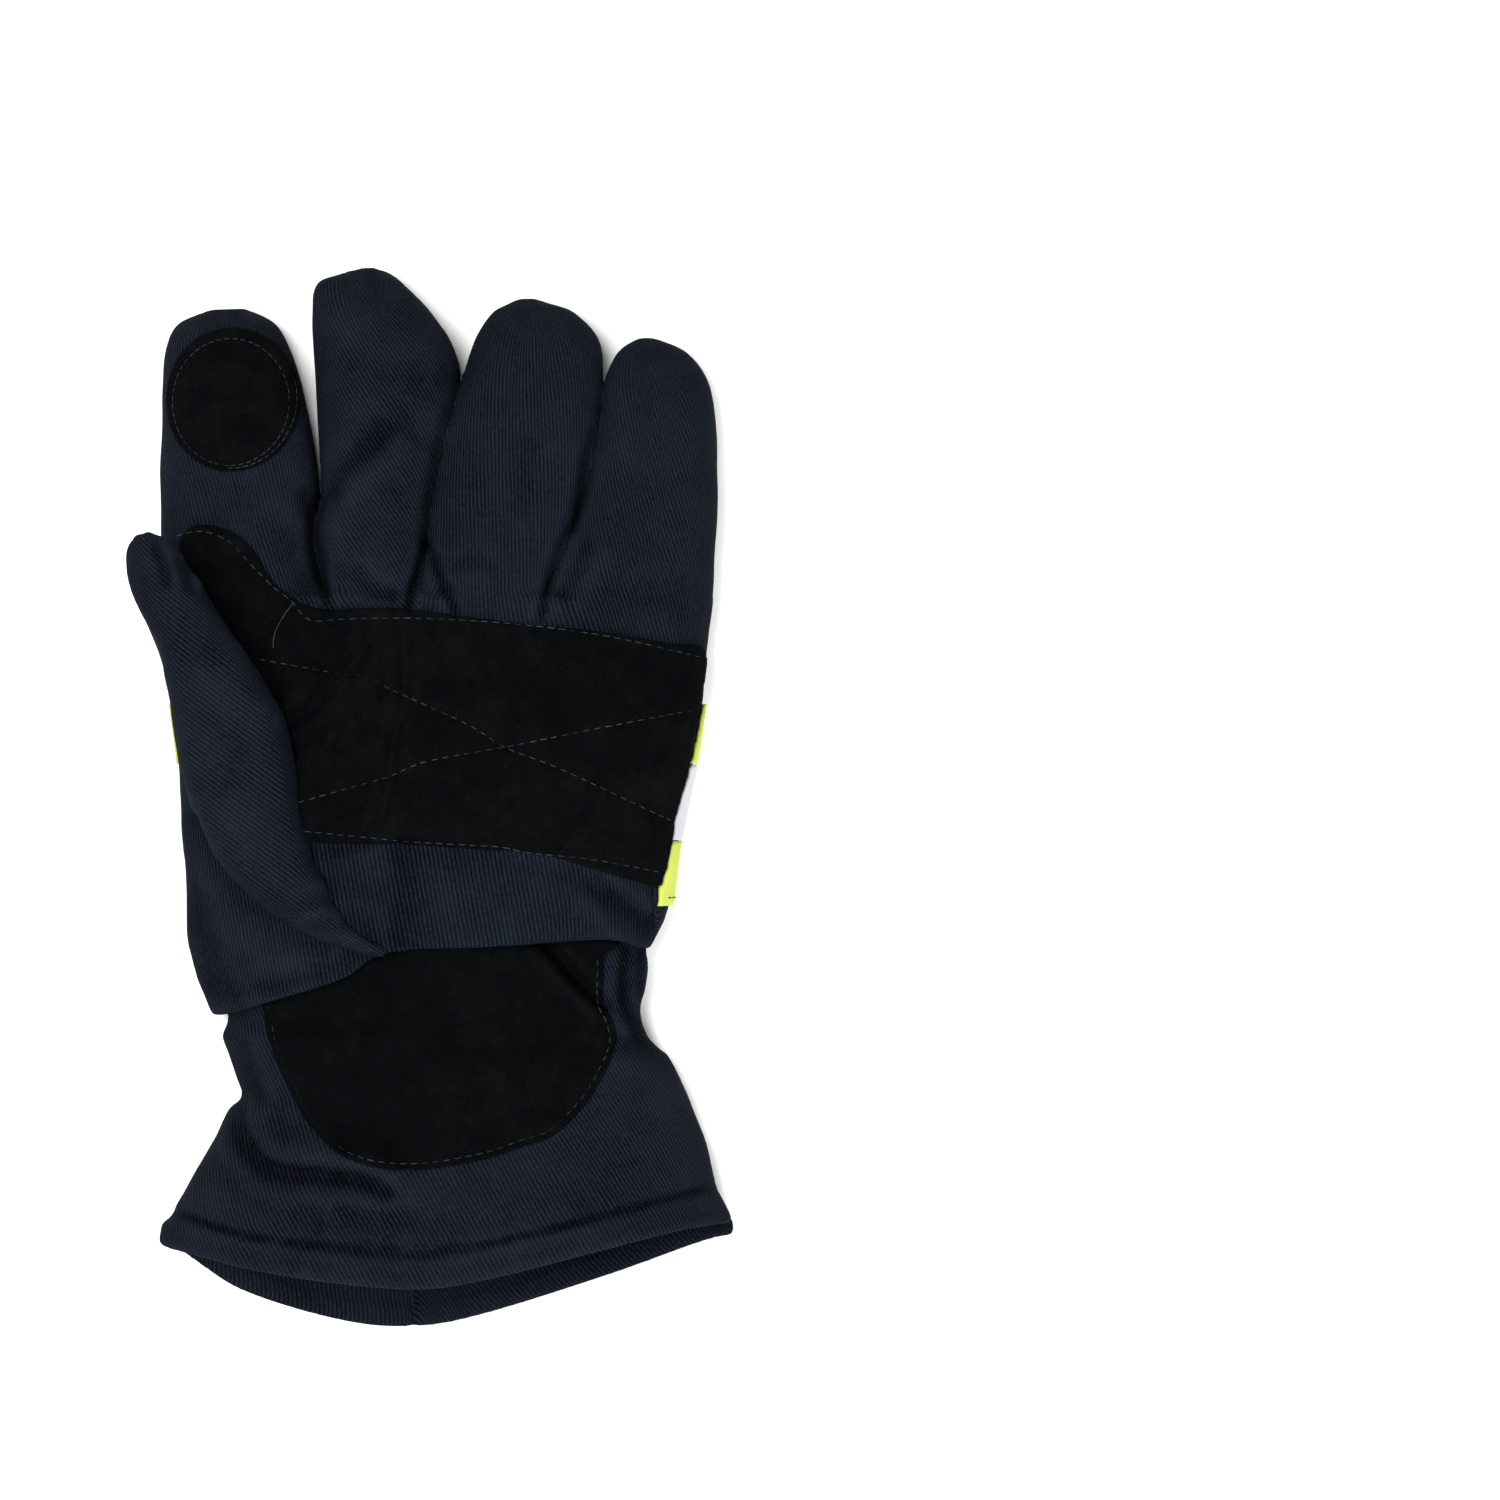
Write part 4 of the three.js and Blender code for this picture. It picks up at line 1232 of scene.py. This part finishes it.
def suede(name, dark, light, scuff):
    """Napped suede with blotches and paler, greener scuffs, with fewer scuffs in creases as painted
    shade.
    """
    shader = Shader(name, 0.95, specular=0.02)
    body = shader.body()
    nap = shader.noise(body, 1500.0, 4.0, 0.65)
    fibre = shader.noise(body, 4500.0, 2.0, 0.6)
    blotch = shader.noise(body, 130.0, 5.0, 0.7)
    broad = shader.noise(body, 24.0, 2.0, 0.5)
    shade = shader.ramp(
        shader.scaled(nap, 0.6, shader.math("MULTIPLY", blotch, 0.4)),
        [(0.36, dark), (0.66, light)],
    )
    wear_and_shade = shader.wear_and_shade()
    worn_and_shaded = shader.scaled(blotch, 1.3, shader.math("MULTIPLY", broad, 0.7))
    # The piece's attribute adds scuffs where worn and takes them away in creases, as painted shade
    worn_and_shaded = shader.scaled(wear_and_shade, 0.45, shader.math("SUBTRACT", worn_and_shaded, 0.95))
    worn_and_shaded = shader.scaled(nap, 0.5, shader.math("SUBTRACT", worn_and_shaded, 0.25))
    worn_and_shaded = shader.add("MapRange", {"Value": worn_and_shaded, 1: 0.05, 2: 0.7, 3: 0.0, 4: 0.9}).outputs[0]
    shader.paint(shader.blend(worn_and_shaded, shade, scuff))
    height = shader.scaled(fibre, 0.4, nap)
    shader.relief(height, 0.00035, 0.8)
    return shader.material


def tape_finish(name, shade, deep, roughness):
    """Woven tape with fine cross ribs and a little soiling."""
    shader = Shader(name, roughness, specular=0.15)
    body = shader.body()
    along = shader.add("SeparateXYZ", {0: body})
    turns = [
        shader.math("MULTIPLY", along.outputs[axis], 2 * math.pi * 1000 / pitch)
        for axis, pitch in (("Y", WEFT_PITCH), ("X", WARP_PITCH))
    ]
    weave = shader.math("MULTIPLY", *[shader.math("SINE", turn) for turn in turns])
    soil = shader.noise(body, 60.0, 3.0, 0.6)
    shader.paint(shader.ramp(soil, [(0.3, deep), (0.7, shade)]))
    shader.relief(weave, 0.00006, 0.7)
    return shader.material


def thread_finish(name, dark, light):
    """Twisted thread that is darker in some places than in others, and darker still with painted shade
    from the piece's attribute.
    """
    shader = Shader(name, 0.85, specular=0.1)
    body = shader.body()
    twist = shader.noise(body, 2600.0, 2.0, 0.5)
    fade = shader.noise(body, 120.0, 2.0, 0.5)
    wear_and_shade = shader.wear_and_shade()
    shade = shader.scaled(twist, 0.4, shader.math("MULTIPLY", fade, 0.6))
    # Painted shade where the thread lies in the shade of folds
    shade = shader.scaled(wear_and_shade, 0.2, shade)
    shader.paint(shader.ramp(shade, [(0.36, dark), (0.7, light)]))
    shader.relief(twist, 0.00008, 0.6)
    return shader.material


NAVY = twill("navy_twill", colour(2, 3, 7), colour(23, 28, 37))
SUEDE = suede("black_suede", colour(2, 3, 4), colour(6, 7, 9), colour(10, 11, 10))
LIME = tape_finish("lime_tape", colour(177, 189, 80), colour(168, 181, 70), 0.6)
SILVER = tape_finish("silver_tape", colour(181, 183, 186), colour(173, 175, 179), 0.45)
GREY_THREAD = thread_finish("grey_thread", colour(8, 8, 10), colour(66, 67, 72))
NAVY_THREAD = thread_finish("navy_thread", colour(3, 4, 6), colour(14, 16, 22))


# The fingers' cloth runs down to here, under the palm's suede
FINGER_CLOTH_END = 34.0


def finger_of(points):
    """Which finger each point belongs to, by the creases between them."""
    return sum((points[:, 0] > crease).astype(int) for crease in finger_creases(points[:, 1]))


def hand_uv(points, faces, under):
    centres = points[faces].mean(axis=1)
    on_finger = centres[:, 1] > FINGER_CLOTH_END
    directions = np.array([finger[4] for finger in FINGERS])
    direction = np.where(on_finger, directions[finger_of(centres)], PALM_RIBS).astype(float)
    owner = finger_of(points)
    middle = np.full(len(points), PALM_MIDDLE)
    for i, (y_rows, left, right, _) in enumerate(finger_edges()):
        own = (owner == i) & (points[:, 1] > FINGER_CLOTH_END)
        middle[own] = np.interp(points[own, 1], y_rows, (left + right) / 2)
    return ribs_uv(points, faces, laid_out(points, middle, HAND_TOP, under), direction)


# How far the cloth rounds off where two panels are sewn together
SEAM_EDGE = 0.35


def hand_panels():
    """The palm's and the back's cloth. Returns the outside of both, for what lies on it."""
    grid = Grid((-75, -62, -2), (80, 143, 33), (0.88, 0.88, 0.88))
    hand = hand_form(grid)
    thumb = thumb_form(grid)
    skin = Field(grid, hand)
    shell = np.maximum(hand, -(hand + WALL))
    shell = cut(shell, beyond(FOLD, grid.map_x, grid.map_y)[:, :, None], 1.6)
    shell = np.maximum(shell, -(thumb + WALL))
    seam = seam_level(grid)
    points, faces = Field(grid, cut(shell, seam + GAP / 2 - grid.z, SEAM_EDGE)).surface()
    uv = hand_uv(points, faces, False)
    # Wear on the palm's ridges, with painted shade in its creases and the painted shade and light of
    # the shade lines
    wear_and_shade = wear_and_shade_on(HAND_WEAR_AND_SHADE, points)
    cloth_piece("palm_cloth", "palm_panel", points, faces, uv, wear_and_shade)
    points, faces = Field(grid, cut(shell, grid.z - seam + GAP / 2, SEAM_EDGE)).surface()
    uv = hand_uv(points, faces, True)
    cloth_piece("back_cloth", "back_panel", points, faces, uv)
    return skin


def thumb_uv(points, faces):
    line = thumb_line()
    side, share = nearest(line[:, :2], points[:, 0], points[:, 1])
    height = np.interp(share * (len(line) - 1), np.arange(len(line)), line[:, 2])
    top = height + 10
    folds = on_plan(THUMB_TOP, points[:, 0], points[:, 1]) * (points[:, 2] > height)
    drop = np.maximum(top - points[:, 2] + folds, 0)
    x_out = points[:, 0] - np.sign(side) * drop * smoothstep(np.abs(side) / 6)
    direction = np.full(len(faces), float(THUMB_RIBS))
    return ribs_uv(points, faces, x_out, direction)


def thumb_piece():
    grid = Grid((-84, -50, 4), (-4, 78, 53), (0.75, 0.75, 0.75))
    thumb = thumb_form(grid)
    hand = hand_form(grid)
    shell = np.maximum(thumb, -(thumb + WALL))
    shell = cut(shell, GAP - hand, 0.5)
    points, faces = Field(grid, shell).surface()
    uv = thumb_uv(points, faces)
    # Paler on the thumb's ridges, which is wear, and darker in its creases, which is painted shade
    wear_and_shade = wear_and_shade_on(THUMB_RIDGES, points, 24.0, 34.0)
    cloth_piece("thumb_cloth", "thumb", points, faces, uv, wear_and_shade)


# The back of the cuff is joined from two parts, with their own directions of the ribs
BACK_SEAM_X = -4.5
BACK_LEFT_RIBS = 86
BACK_RIGHT_RIBS = 48


def cuff_uv(points, faces, under):
    middle = np.full(len(points), CUFF_MIDDLE)
    direction = np.full(len(faces), float(CUFF_RIBS))
    if under:
        left_part = points[faces].mean(axis=1)[:, 0] < BACK_SEAM_X
        direction = np.where(left_part, BACK_LEFT_RIBS, BACK_RIGHT_RIBS).astype(float)
    return ribs_uv(points, faces, laid_out(points, middle, CUFF_TOP, under), direction)


def cuff_panels():
    """The cuff's front and back cloth. Returns the outside of both, for what lies on it."""
    grid = Grid((-73, -143, -2), (84, -30, 33), (0.85, 0.85, 0.85))
    cuff = cuff_form(grid)
    skin = Field(grid, cuff)
    seam = seam_level(grid)
    front_edge = beyond(FRONT_HEM, grid.map_x, grid.map_y)[:, :, None]
    shell = np.maximum(cuff, -(cuff + WALL))
    front = cut(cut(shell, front_edge, 1.8), seam + GAP / 2 - grid.z, SEAM_EDGE)
    points, faces = Field(grid, front).surface()
    from_edge = -beyond(FRONT_HEM, points[:, 0], points[:, 1])
    # Wear and painted shade and light of the cuff, with a painted highlight along the front hem's
    # rolled edge
    wear_and_shade = wear_and_shade_on(CUFF_WEAR_AND_SHADE, points) + 1.2 * hump(from_edge / 0.9)
    uv = cuff_uv(points, faces, False)
    cloth_piece("cuff_front_cloth", "cuff_front", points, faces, uv, wear_and_shade)
    back_edge = beyond(BACK_HEM, grid.map_x, grid.map_y)[:, :, None]
    wall = WALL - 1.3 * hump((grid.x - BACK_SEAM_X) / 0.7)
    wall = wall + 0.4 * smoothstep((back_edge + 7) / 2)
    shell = np.maximum(cuff, -(cuff + wall))
    back = cut(cut(shell, back_edge, 1.8), grid.z - seam + GAP / 2, SEAM_EDGE)
    points, faces = Field(grid, back).surface()
    uv = cuff_uv(points, faces, True)
    cloth_piece("cuff_back_cloth", "cuff_back", points, faces, uv)
    return skin


def suede_relief(lines, seed):
    relief = 0.07 * soft_noise(seed, 2.0, 2.6) + 0.05 * soft_noise(seed + 1, 1.0, 1.0)
    for line in lines:
        add_groove(relief, line, 0.8, 0.3)
    return relief


def sheet_size(outline):
    """Width, length and area of a closed outline, in metres."""
    width, length = (outline.max(axis=0) - outline.min(axis=0)) / 1000
    x, y = outline.T / 1000
    return float(width), float(length), float(abs(np.sum(x[:-1] * y[1:] - x[1:] * y[:-1])) / 2)


def patch(name, node, grid, base, outline, lines, seed, wear_and_shade_plan, extra_cuts=()):
    """A suede layer a gap above the cloth. Returns its outside, for the stitches on it."""
    relief = grid.relief(suede_relief(lines, seed))
    inside_edge = closed_distance(outline, grid.map_x, grid.map_y)[:, :, None]
    outside = base - (GAP + PATCH) - relief
    layer = np.maximum(outside, GAP - base)
    layer = cut(layer, inside_edge, 0.9)
    for outside_cut in extra_cuts:
        layer = cut(layer, outside_cut, 0.4)
    points, faces = Field(grid, layer).surface()
    wear_and_shade = wear_and_shade_on(wear_and_shade_plan, points)
    piece = make_piece(name, points, faces, SUEDE, wear_and_shade=wear_and_shade)
    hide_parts(node)
    return Field(grid, outside)


def palm_patch():
    grid = Grid((-74, -29, 5), (79, 75, 32), (0.65, 0.7, 0.4))
    drawn = [PALM_TOP_STITCHES, PALM_BOTTOM_STITCHES, *CROSS_STITCHES]
    lines = [even_line(seen(points, HAND_HEIGHT + 1)) for points in drawn]
    base = hand_form(grid)
    cuts = [seam_level(grid) + GAP / 2 - grid.z, GAP - thumb_form(grid)]
    # Scuffs are the suede's own wear; the ridges add wear on proud places and painted shade in creases
    wear_and_shade = np.clip(shades(SCUFFS, HAND_HEIGHT), 0, 1.3) + 0.5 * HAND_RIDGES
    made = patch("palm_suede", "palm_patch", grid, base, PALM_PATCH, lines, 21, wear_and_shade, cuts)
    return made, lines


def tip_patch():
    grid = Grid((-72, 82, 10), (-32, 126, 27), (0.5, 0.5, 0.4))
    lines = [tip_patch_outline(2.5) - np.array([0.3, 0.8]), tip_patch_outline(1.0, -95, 20)]
    base = hand_form(grid)
    # Wear on the suede's ridges and painted shade in its creases
    wear_and_shade = 0.5 * HAND_RIDGES
    outline = tip_patch_outline()
    made = patch("tip_suede", "index_tip_patch", grid, base, outline, lines, 23, wear_and_shade)
    return made, lines


def wrist_patch():
    grid = Grid((-50, -103, 8), (52, -28, 31), (0.6, 0.6, 0.4))
    inner = even_line(inner_line(WRIST_PATCH, 1.7))
    base = cuff_form(grid)
    # Wear on the suede's ridges and painted shade in its creases
    wear_and_shade = 0.5 * CUFF_RIDGES
    made = patch("wrist_suede", "wrist_patch", grid, base, WRIST_PATCH, [inner], 25, wear_and_shade)
    return made, [inner]


def inner_line(outline, inset):
    """A closed outline moved inwards, with the run that lies under the palm left out."""
    points = outline[:-1]
    ahead = unit(np.roll(points, -1, axis=0) - np.roll(points, 1, axis=0))
    inward = np.stack([-ahead[:, 1], ahead[:, 0]], axis=1)
    moved = points + inward * inset
    if sheet_size(moved)[0] > sheet_size(outline)[0]:
        moved = points - inward * inset
    start = np.argmax(moved[:, 1])
    moved = np.roll(moved, -start, axis=0)
    return moved[moved[:, 1] < FOLD_LINE + 1]


STITCH_SIDES = 6
TUBE_SIDES = 8
# Thickness along a stitch, as shares of its radius
STITCH_SWELL = np.array([0.45, 0.92, 1.0, 0.92, 0.45])


def ring_faces(first, rings, sides):
    """Faces of a closed thread from its rings of points, the first of which is given."""
    faces = []
    for r in range(rings - 1):
        for s in range(sides):
            a = first + r * sides + s
            b = first + r * sides + (s + 1) % sides
            faces.append([a, b, b + sides, a + sides])
    last = first + (rings - 1) * sides
    faces.append([first + s for s in reversed(range(sides))])
    faces.append([last + s for s in range(sides)])
    return faces


def path_on(field, line):
    """A line of the plan laid on the top of a surface, with the surface's direction there."""
    fine = even_line(line, 0.5)
    z = field.top(fine[:, 0], fine[:, 1])
    path = field.settle(np.column_stack([fine, z]))
    return path, field.normal(path)


def stitch_row(path, normals, pitch, length, radius, seed):
    """Points and faces of stitches set along a path, each a short swelling thread."""
    runs = runs_along(path)
    random = np.random.default_rng(seed)
    starts = np.arange(0.3, runs[-1] - length, pitch)
    starts = starts + random.uniform(-0.12, 0.12, len(starts))
    lengths = length * random.uniform(0.88, 1.06, len(starts))
    stations = np.linspace(0, 1, len(STITCH_SWELL))
    along = starts[:, None] + lengths[:, None] * stations
    middle = places_along(path, runs, along)
    up = unit(places_along(normals, runs, along))
    ahead = unit(np.gradient(middle, axis=1))
    side = unit(np.cross(ahead, up))
    rise = radius * (1.1 * np.sin(math.pi * stations) - 0.5)
    middle = middle + up * rise[None, :, None]
    turns = 2 * math.pi * np.arange(STITCH_SIDES) / STITCH_SIDES
    swell = (radius * STITCH_SWELL)[None, :, None, None]
    ring = (
        side[:, :, None, :] * np.cos(turns)[None, None, :, None]
        + up[:, :, None, :] * np.sin(turns)[None, None, :, None]
    )
    points = middle[:, :, None, :] + swell * ring
    faces = []
    rings = len(STITCH_SWELL)
    for n in range(len(starts)):
        faces += ring_faces(n * rings * STITCH_SIDES, rings, STITCH_SIDES)
    return points.reshape(-1, 3), faces


def gather_rows(rows):
    """Points and faces of all rows in one list."""
    points = []
    faces = []
    count = 0
    for row_points, row_faces in rows:
        points.append(row_points)
        faces += [[count + i for i in face] for face in row_faces]
        count += len(row_points)
    return np.vstack(points), faces


def sew(name, rows, material, plan=None, radius=0.12, pitch=2.9, length=2.1):
    """One piece of thread from all the lines of stitches on a surface."""
    made = [
        stitch_row(path, normals, pitch, length, radius, 100 + i)
        for i, (path, normals) in enumerate(rows)
    ]
    points, faces = gather_rows(made)
    # Painted shade on the thread from the plan
    wear_and_shade = None if plan is None else on_plan(plan, points[:, 0], points[:, 1])
    make_piece(name, points, faces, material, wear_and_shade=wear_and_shade)


def tube(name, path, radius, material):
    """A bent round thread with closed ends."""
    ahead = unit(np.gradient(path, axis=0))
    side = unit(np.cross(ahead, np.array([0, 0, 1.0])))
    up = np.cross(side, ahead)
    turns = 2 * math.pi * np.arange(TUBE_SIDES) / TUBE_SIDES
    ring = side[:, None] * np.cos(turns)[None, :, None] + up[:, None] * np.sin(turns)[None, :, None]
    points = (path[:, None] + radius * ring).reshape(-1, 3)
    make_piece(name, points, ring_faces(0, len(path), TUBE_SIDES), material)


def rounded(share):
    return np.sign(share) * np.abs(share) ** (2 / PALM_SQUARENESS)


def under_path(field, y, level):
    """Points round the underside of the hand at one place along it, from seam to seam."""
    left, right, low, high = palm_span(np.array([y]))
    middle = (left[0] + right[0]) / 2
    half = (right[0] - left[0]) / 2
    turns = np.linspace(math.radians(-205), math.radians(38), 150)
    across = rounded(np.cos(turns))
    up = rounded(np.sin(turns))
    rise = np.where(up > 0, high[0] - SEAM_HEIGHT, PRESSED * (SEAM_HEIGHT - low[0]))
    z = np.maximum(SEAM_HEIGHT + up * rise, low[0])
    path = np.stack([middle + half * across, np.full(len(turns), y), z], axis=1)
    path = field.settle(path, level, steps=5, most=0.8)
    path[:, 1] = y
    return path


def trim_path(path, left_end, right_end, count):
    """The part of a path between two heights, one at each of its ends, in even steps."""
    middle = len(path) // 2
    left_stop = np.argmax(path[:, 2] < left_end)
    right_stop = middle + np.argmax(path[middle:, 2] > right_end)
    kept = path[left_stop:right_stop]
    runs = runs_along(kept)
    return places_along(kept, runs, np.linspace(0, runs[-1], count))


def tape_strip(name, node, field, y_top, y_bottom, material, left_end):
    """One part of the tape, from its left end's height to the side seam. Returns its outside."""
    across = 140
    rows = max(int(y_top - y_bottom), 4)
    layers = []
    for level in (GAP, GAP + TAPE):
        lines = []
        for y in np.linspace(y_top, y_bottom, rows + 1):
            path = under_path(field, y, level)
            lines.append(trim_path(path, left_end, side_seam(y) - GAP, across))
        layers.append(np.array(lines))
    inner, outer = layers
    points = np.vstack([outer.reshape(-1, 3), inner.reshape(-1, 3)])
    size = (rows + 1) * across
    faces = []
    for r in range(rows):
        for s in range(across - 1):
            a = r * across + s
            faces.append([a, a + 1, a + 1 + across, a + across])
            faces.append([size + a, size + a + across, size + a + 1 + across, size + a + 1])
    border = list(range(across))
    border += [r * across + across - 1 for r in range(1, rows + 1)]
    border += [rows * across + s for s in range(across - 2, -1, -1)]
    border += [r * across for r in range(rows - 1, 0, -1)]
    for a, b in zip(border, border[1:] + border[:1]):
        faces.append([b, a, a + size, b + size])
    piece = make_piece(name, points, faces, material)
    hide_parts(node)
    return outer


def tape(field):
    """The three parts of the tape and the two lines of stitches that hold it."""
    lime_end = TAPE_TOP - SEEN_LIME_WIDTH
    silver_end = lime_end - SEEN_SILVER_WIDTH
    half = GAP / 2
    strips = [
        ("lime_upper", TAPE_TOP, lime_end + half, LIME, "lime_tape", 7.0),
        ("silver", lime_end - half, silver_end + half, SILVER, "silver_tape", 3.6),
        ("lime_lower", silver_end - half, TAPE_BOTTOM, LIME, "lime_tape", 3.4),
    ]
    made = [
        tape_strip(part + "_strip", "tape_" + part, field, top, bottom, material, left_end)
        for part, top, bottom, material, slot, left_end in strips
    ]
    seams = [made[0][2], made[2][-3]]
    rows = [(path, field.normal(path)) for path in seams]
    sew("tape_stitches", rows, NAVY_THREAD, radius=0.16, pitch=2.3, length=2.15)


def sew_all(cuff, palm_top, palm_lines, tip_top, tip_lines, wrist_top, wrist_lines):
    palm_rows = [path_on(palm_top, line) for line in palm_lines]
    palm_shades = shades(THREAD_SHADES, HAND_HEIGHT)
    sew("palm_suede_stitches", palm_rows, GREY_THREAD, palm_shades)
    tip_rows = [path_on(tip_top, line) for line in tip_lines]
    sew("tip_suede_stitches", tip_rows, GREY_THREAD, radius=0.1, pitch=2.1, length=1.75)
    wrist_rows = [path_on(wrist_top, line) for line in wrist_lines]
    wrist_shades = shades(THREAD_SHADES, CUFF_HEIGHT)
    sew("wrist_suede_stitches", wrist_rows, GREY_THREAD, wrist_shades)
    hem = even_line(seen(FRONT_HEM_STITCHES, CUFF_HEIGHT + 3))
    sew("hem_stitches", [path_on(cuff, hem)], NAVY_THREAD, radius=0.09)
    loose = even_line(seen(LOOSE_THREAD, HAND_HEIGHT + 2), 0.7)
    path, normals = path_on(palm_top, loose)
    lift = 1.1 * np.sin(np.linspace(0, math.pi, len(path))) - 0.1
    tube("loose_thread", path + normals * lift[:, None], 0.11, GREY_THREAD)


def floor():
    size = 6.0
    mesh = bpy.data.meshes.new("floor")
    corners = [(-size, -size, 0), (size, -size, 0), (size, size, 0), (-size, size, 0)]
    mesh.from_pydata(corners, [], [(0, 1, 2, 3)])
    surface = bpy.data.objects.new("floor", mesh)
    bpy.context.scene.collection.objects.link(surface)
    shader = Shader("floor_white", 0.9, specular=0.1)
    shader.surface.inputs["Base Color"].default_value = (0.93, 0.93, 0.93, 1)
    mesh.materials.append(shader.material)


def light(name, location, size, energy):
    lamp = bpy.data.lights.new(name, "AREA")
    lamp.shape = "DISK"
    lamp.size = size
    lamp.energy = energy
    source = bpy.data.objects.new(name, lamp)
    source.location = location
    source.rotation_euler = (-Vector(location)).to_track_quat("-Z", "Y").to_euler()
    bpy.context.scene.collection.objects.link(source)


def studio():
    scene = bpy.context.scene
    scene.view_settings.view_transform = "Standard"
    world = bpy.data.worlds.new("studio")
    world.use_nodes = True
    world.node_tree.nodes["Background"].inputs["Color"].default_value = (1, 1, 1, 1)
    world.node_tree.nodes["Background"].inputs["Strength"].default_value = 0.6
    scene.world = world
    light("key", (-0.5, 0.3, 1.5), 1.0, 34)
    light("fill", (0.45, -1.1, 0.85), 1.0, 22)


def camera():
    lens = bpy.data.cameras.new("camera")
    lens.sensor_width = 36
    lens.lens = lens.sensor_width * CAMERA_HEIGHT / VIEW_WIDTH
    lens.clip_end = 20
    eye = bpy.data.objects.new("camera", lens)
    eye.location = place((CAMERA_X, CAMERA_Y, CAMERA_HEIGHT))
    bpy.context.scene.collection.objects.link(eye)
    bpy.context.scene.camera = eye


camera()
studio()
floor()
hand_field = hand_panels()
thumb_piece()
cuff_field = cuff_panels()
palm_top, palm_lines = palm_patch()
tip_top, tip_lines = tip_patch()
wrist_top, wrist_lines = wrist_patch()
tape(hand_field)
sew_all(cuff_field, palm_top, palm_lines, tip_top, tip_lines, wrist_top, wrist_lines)
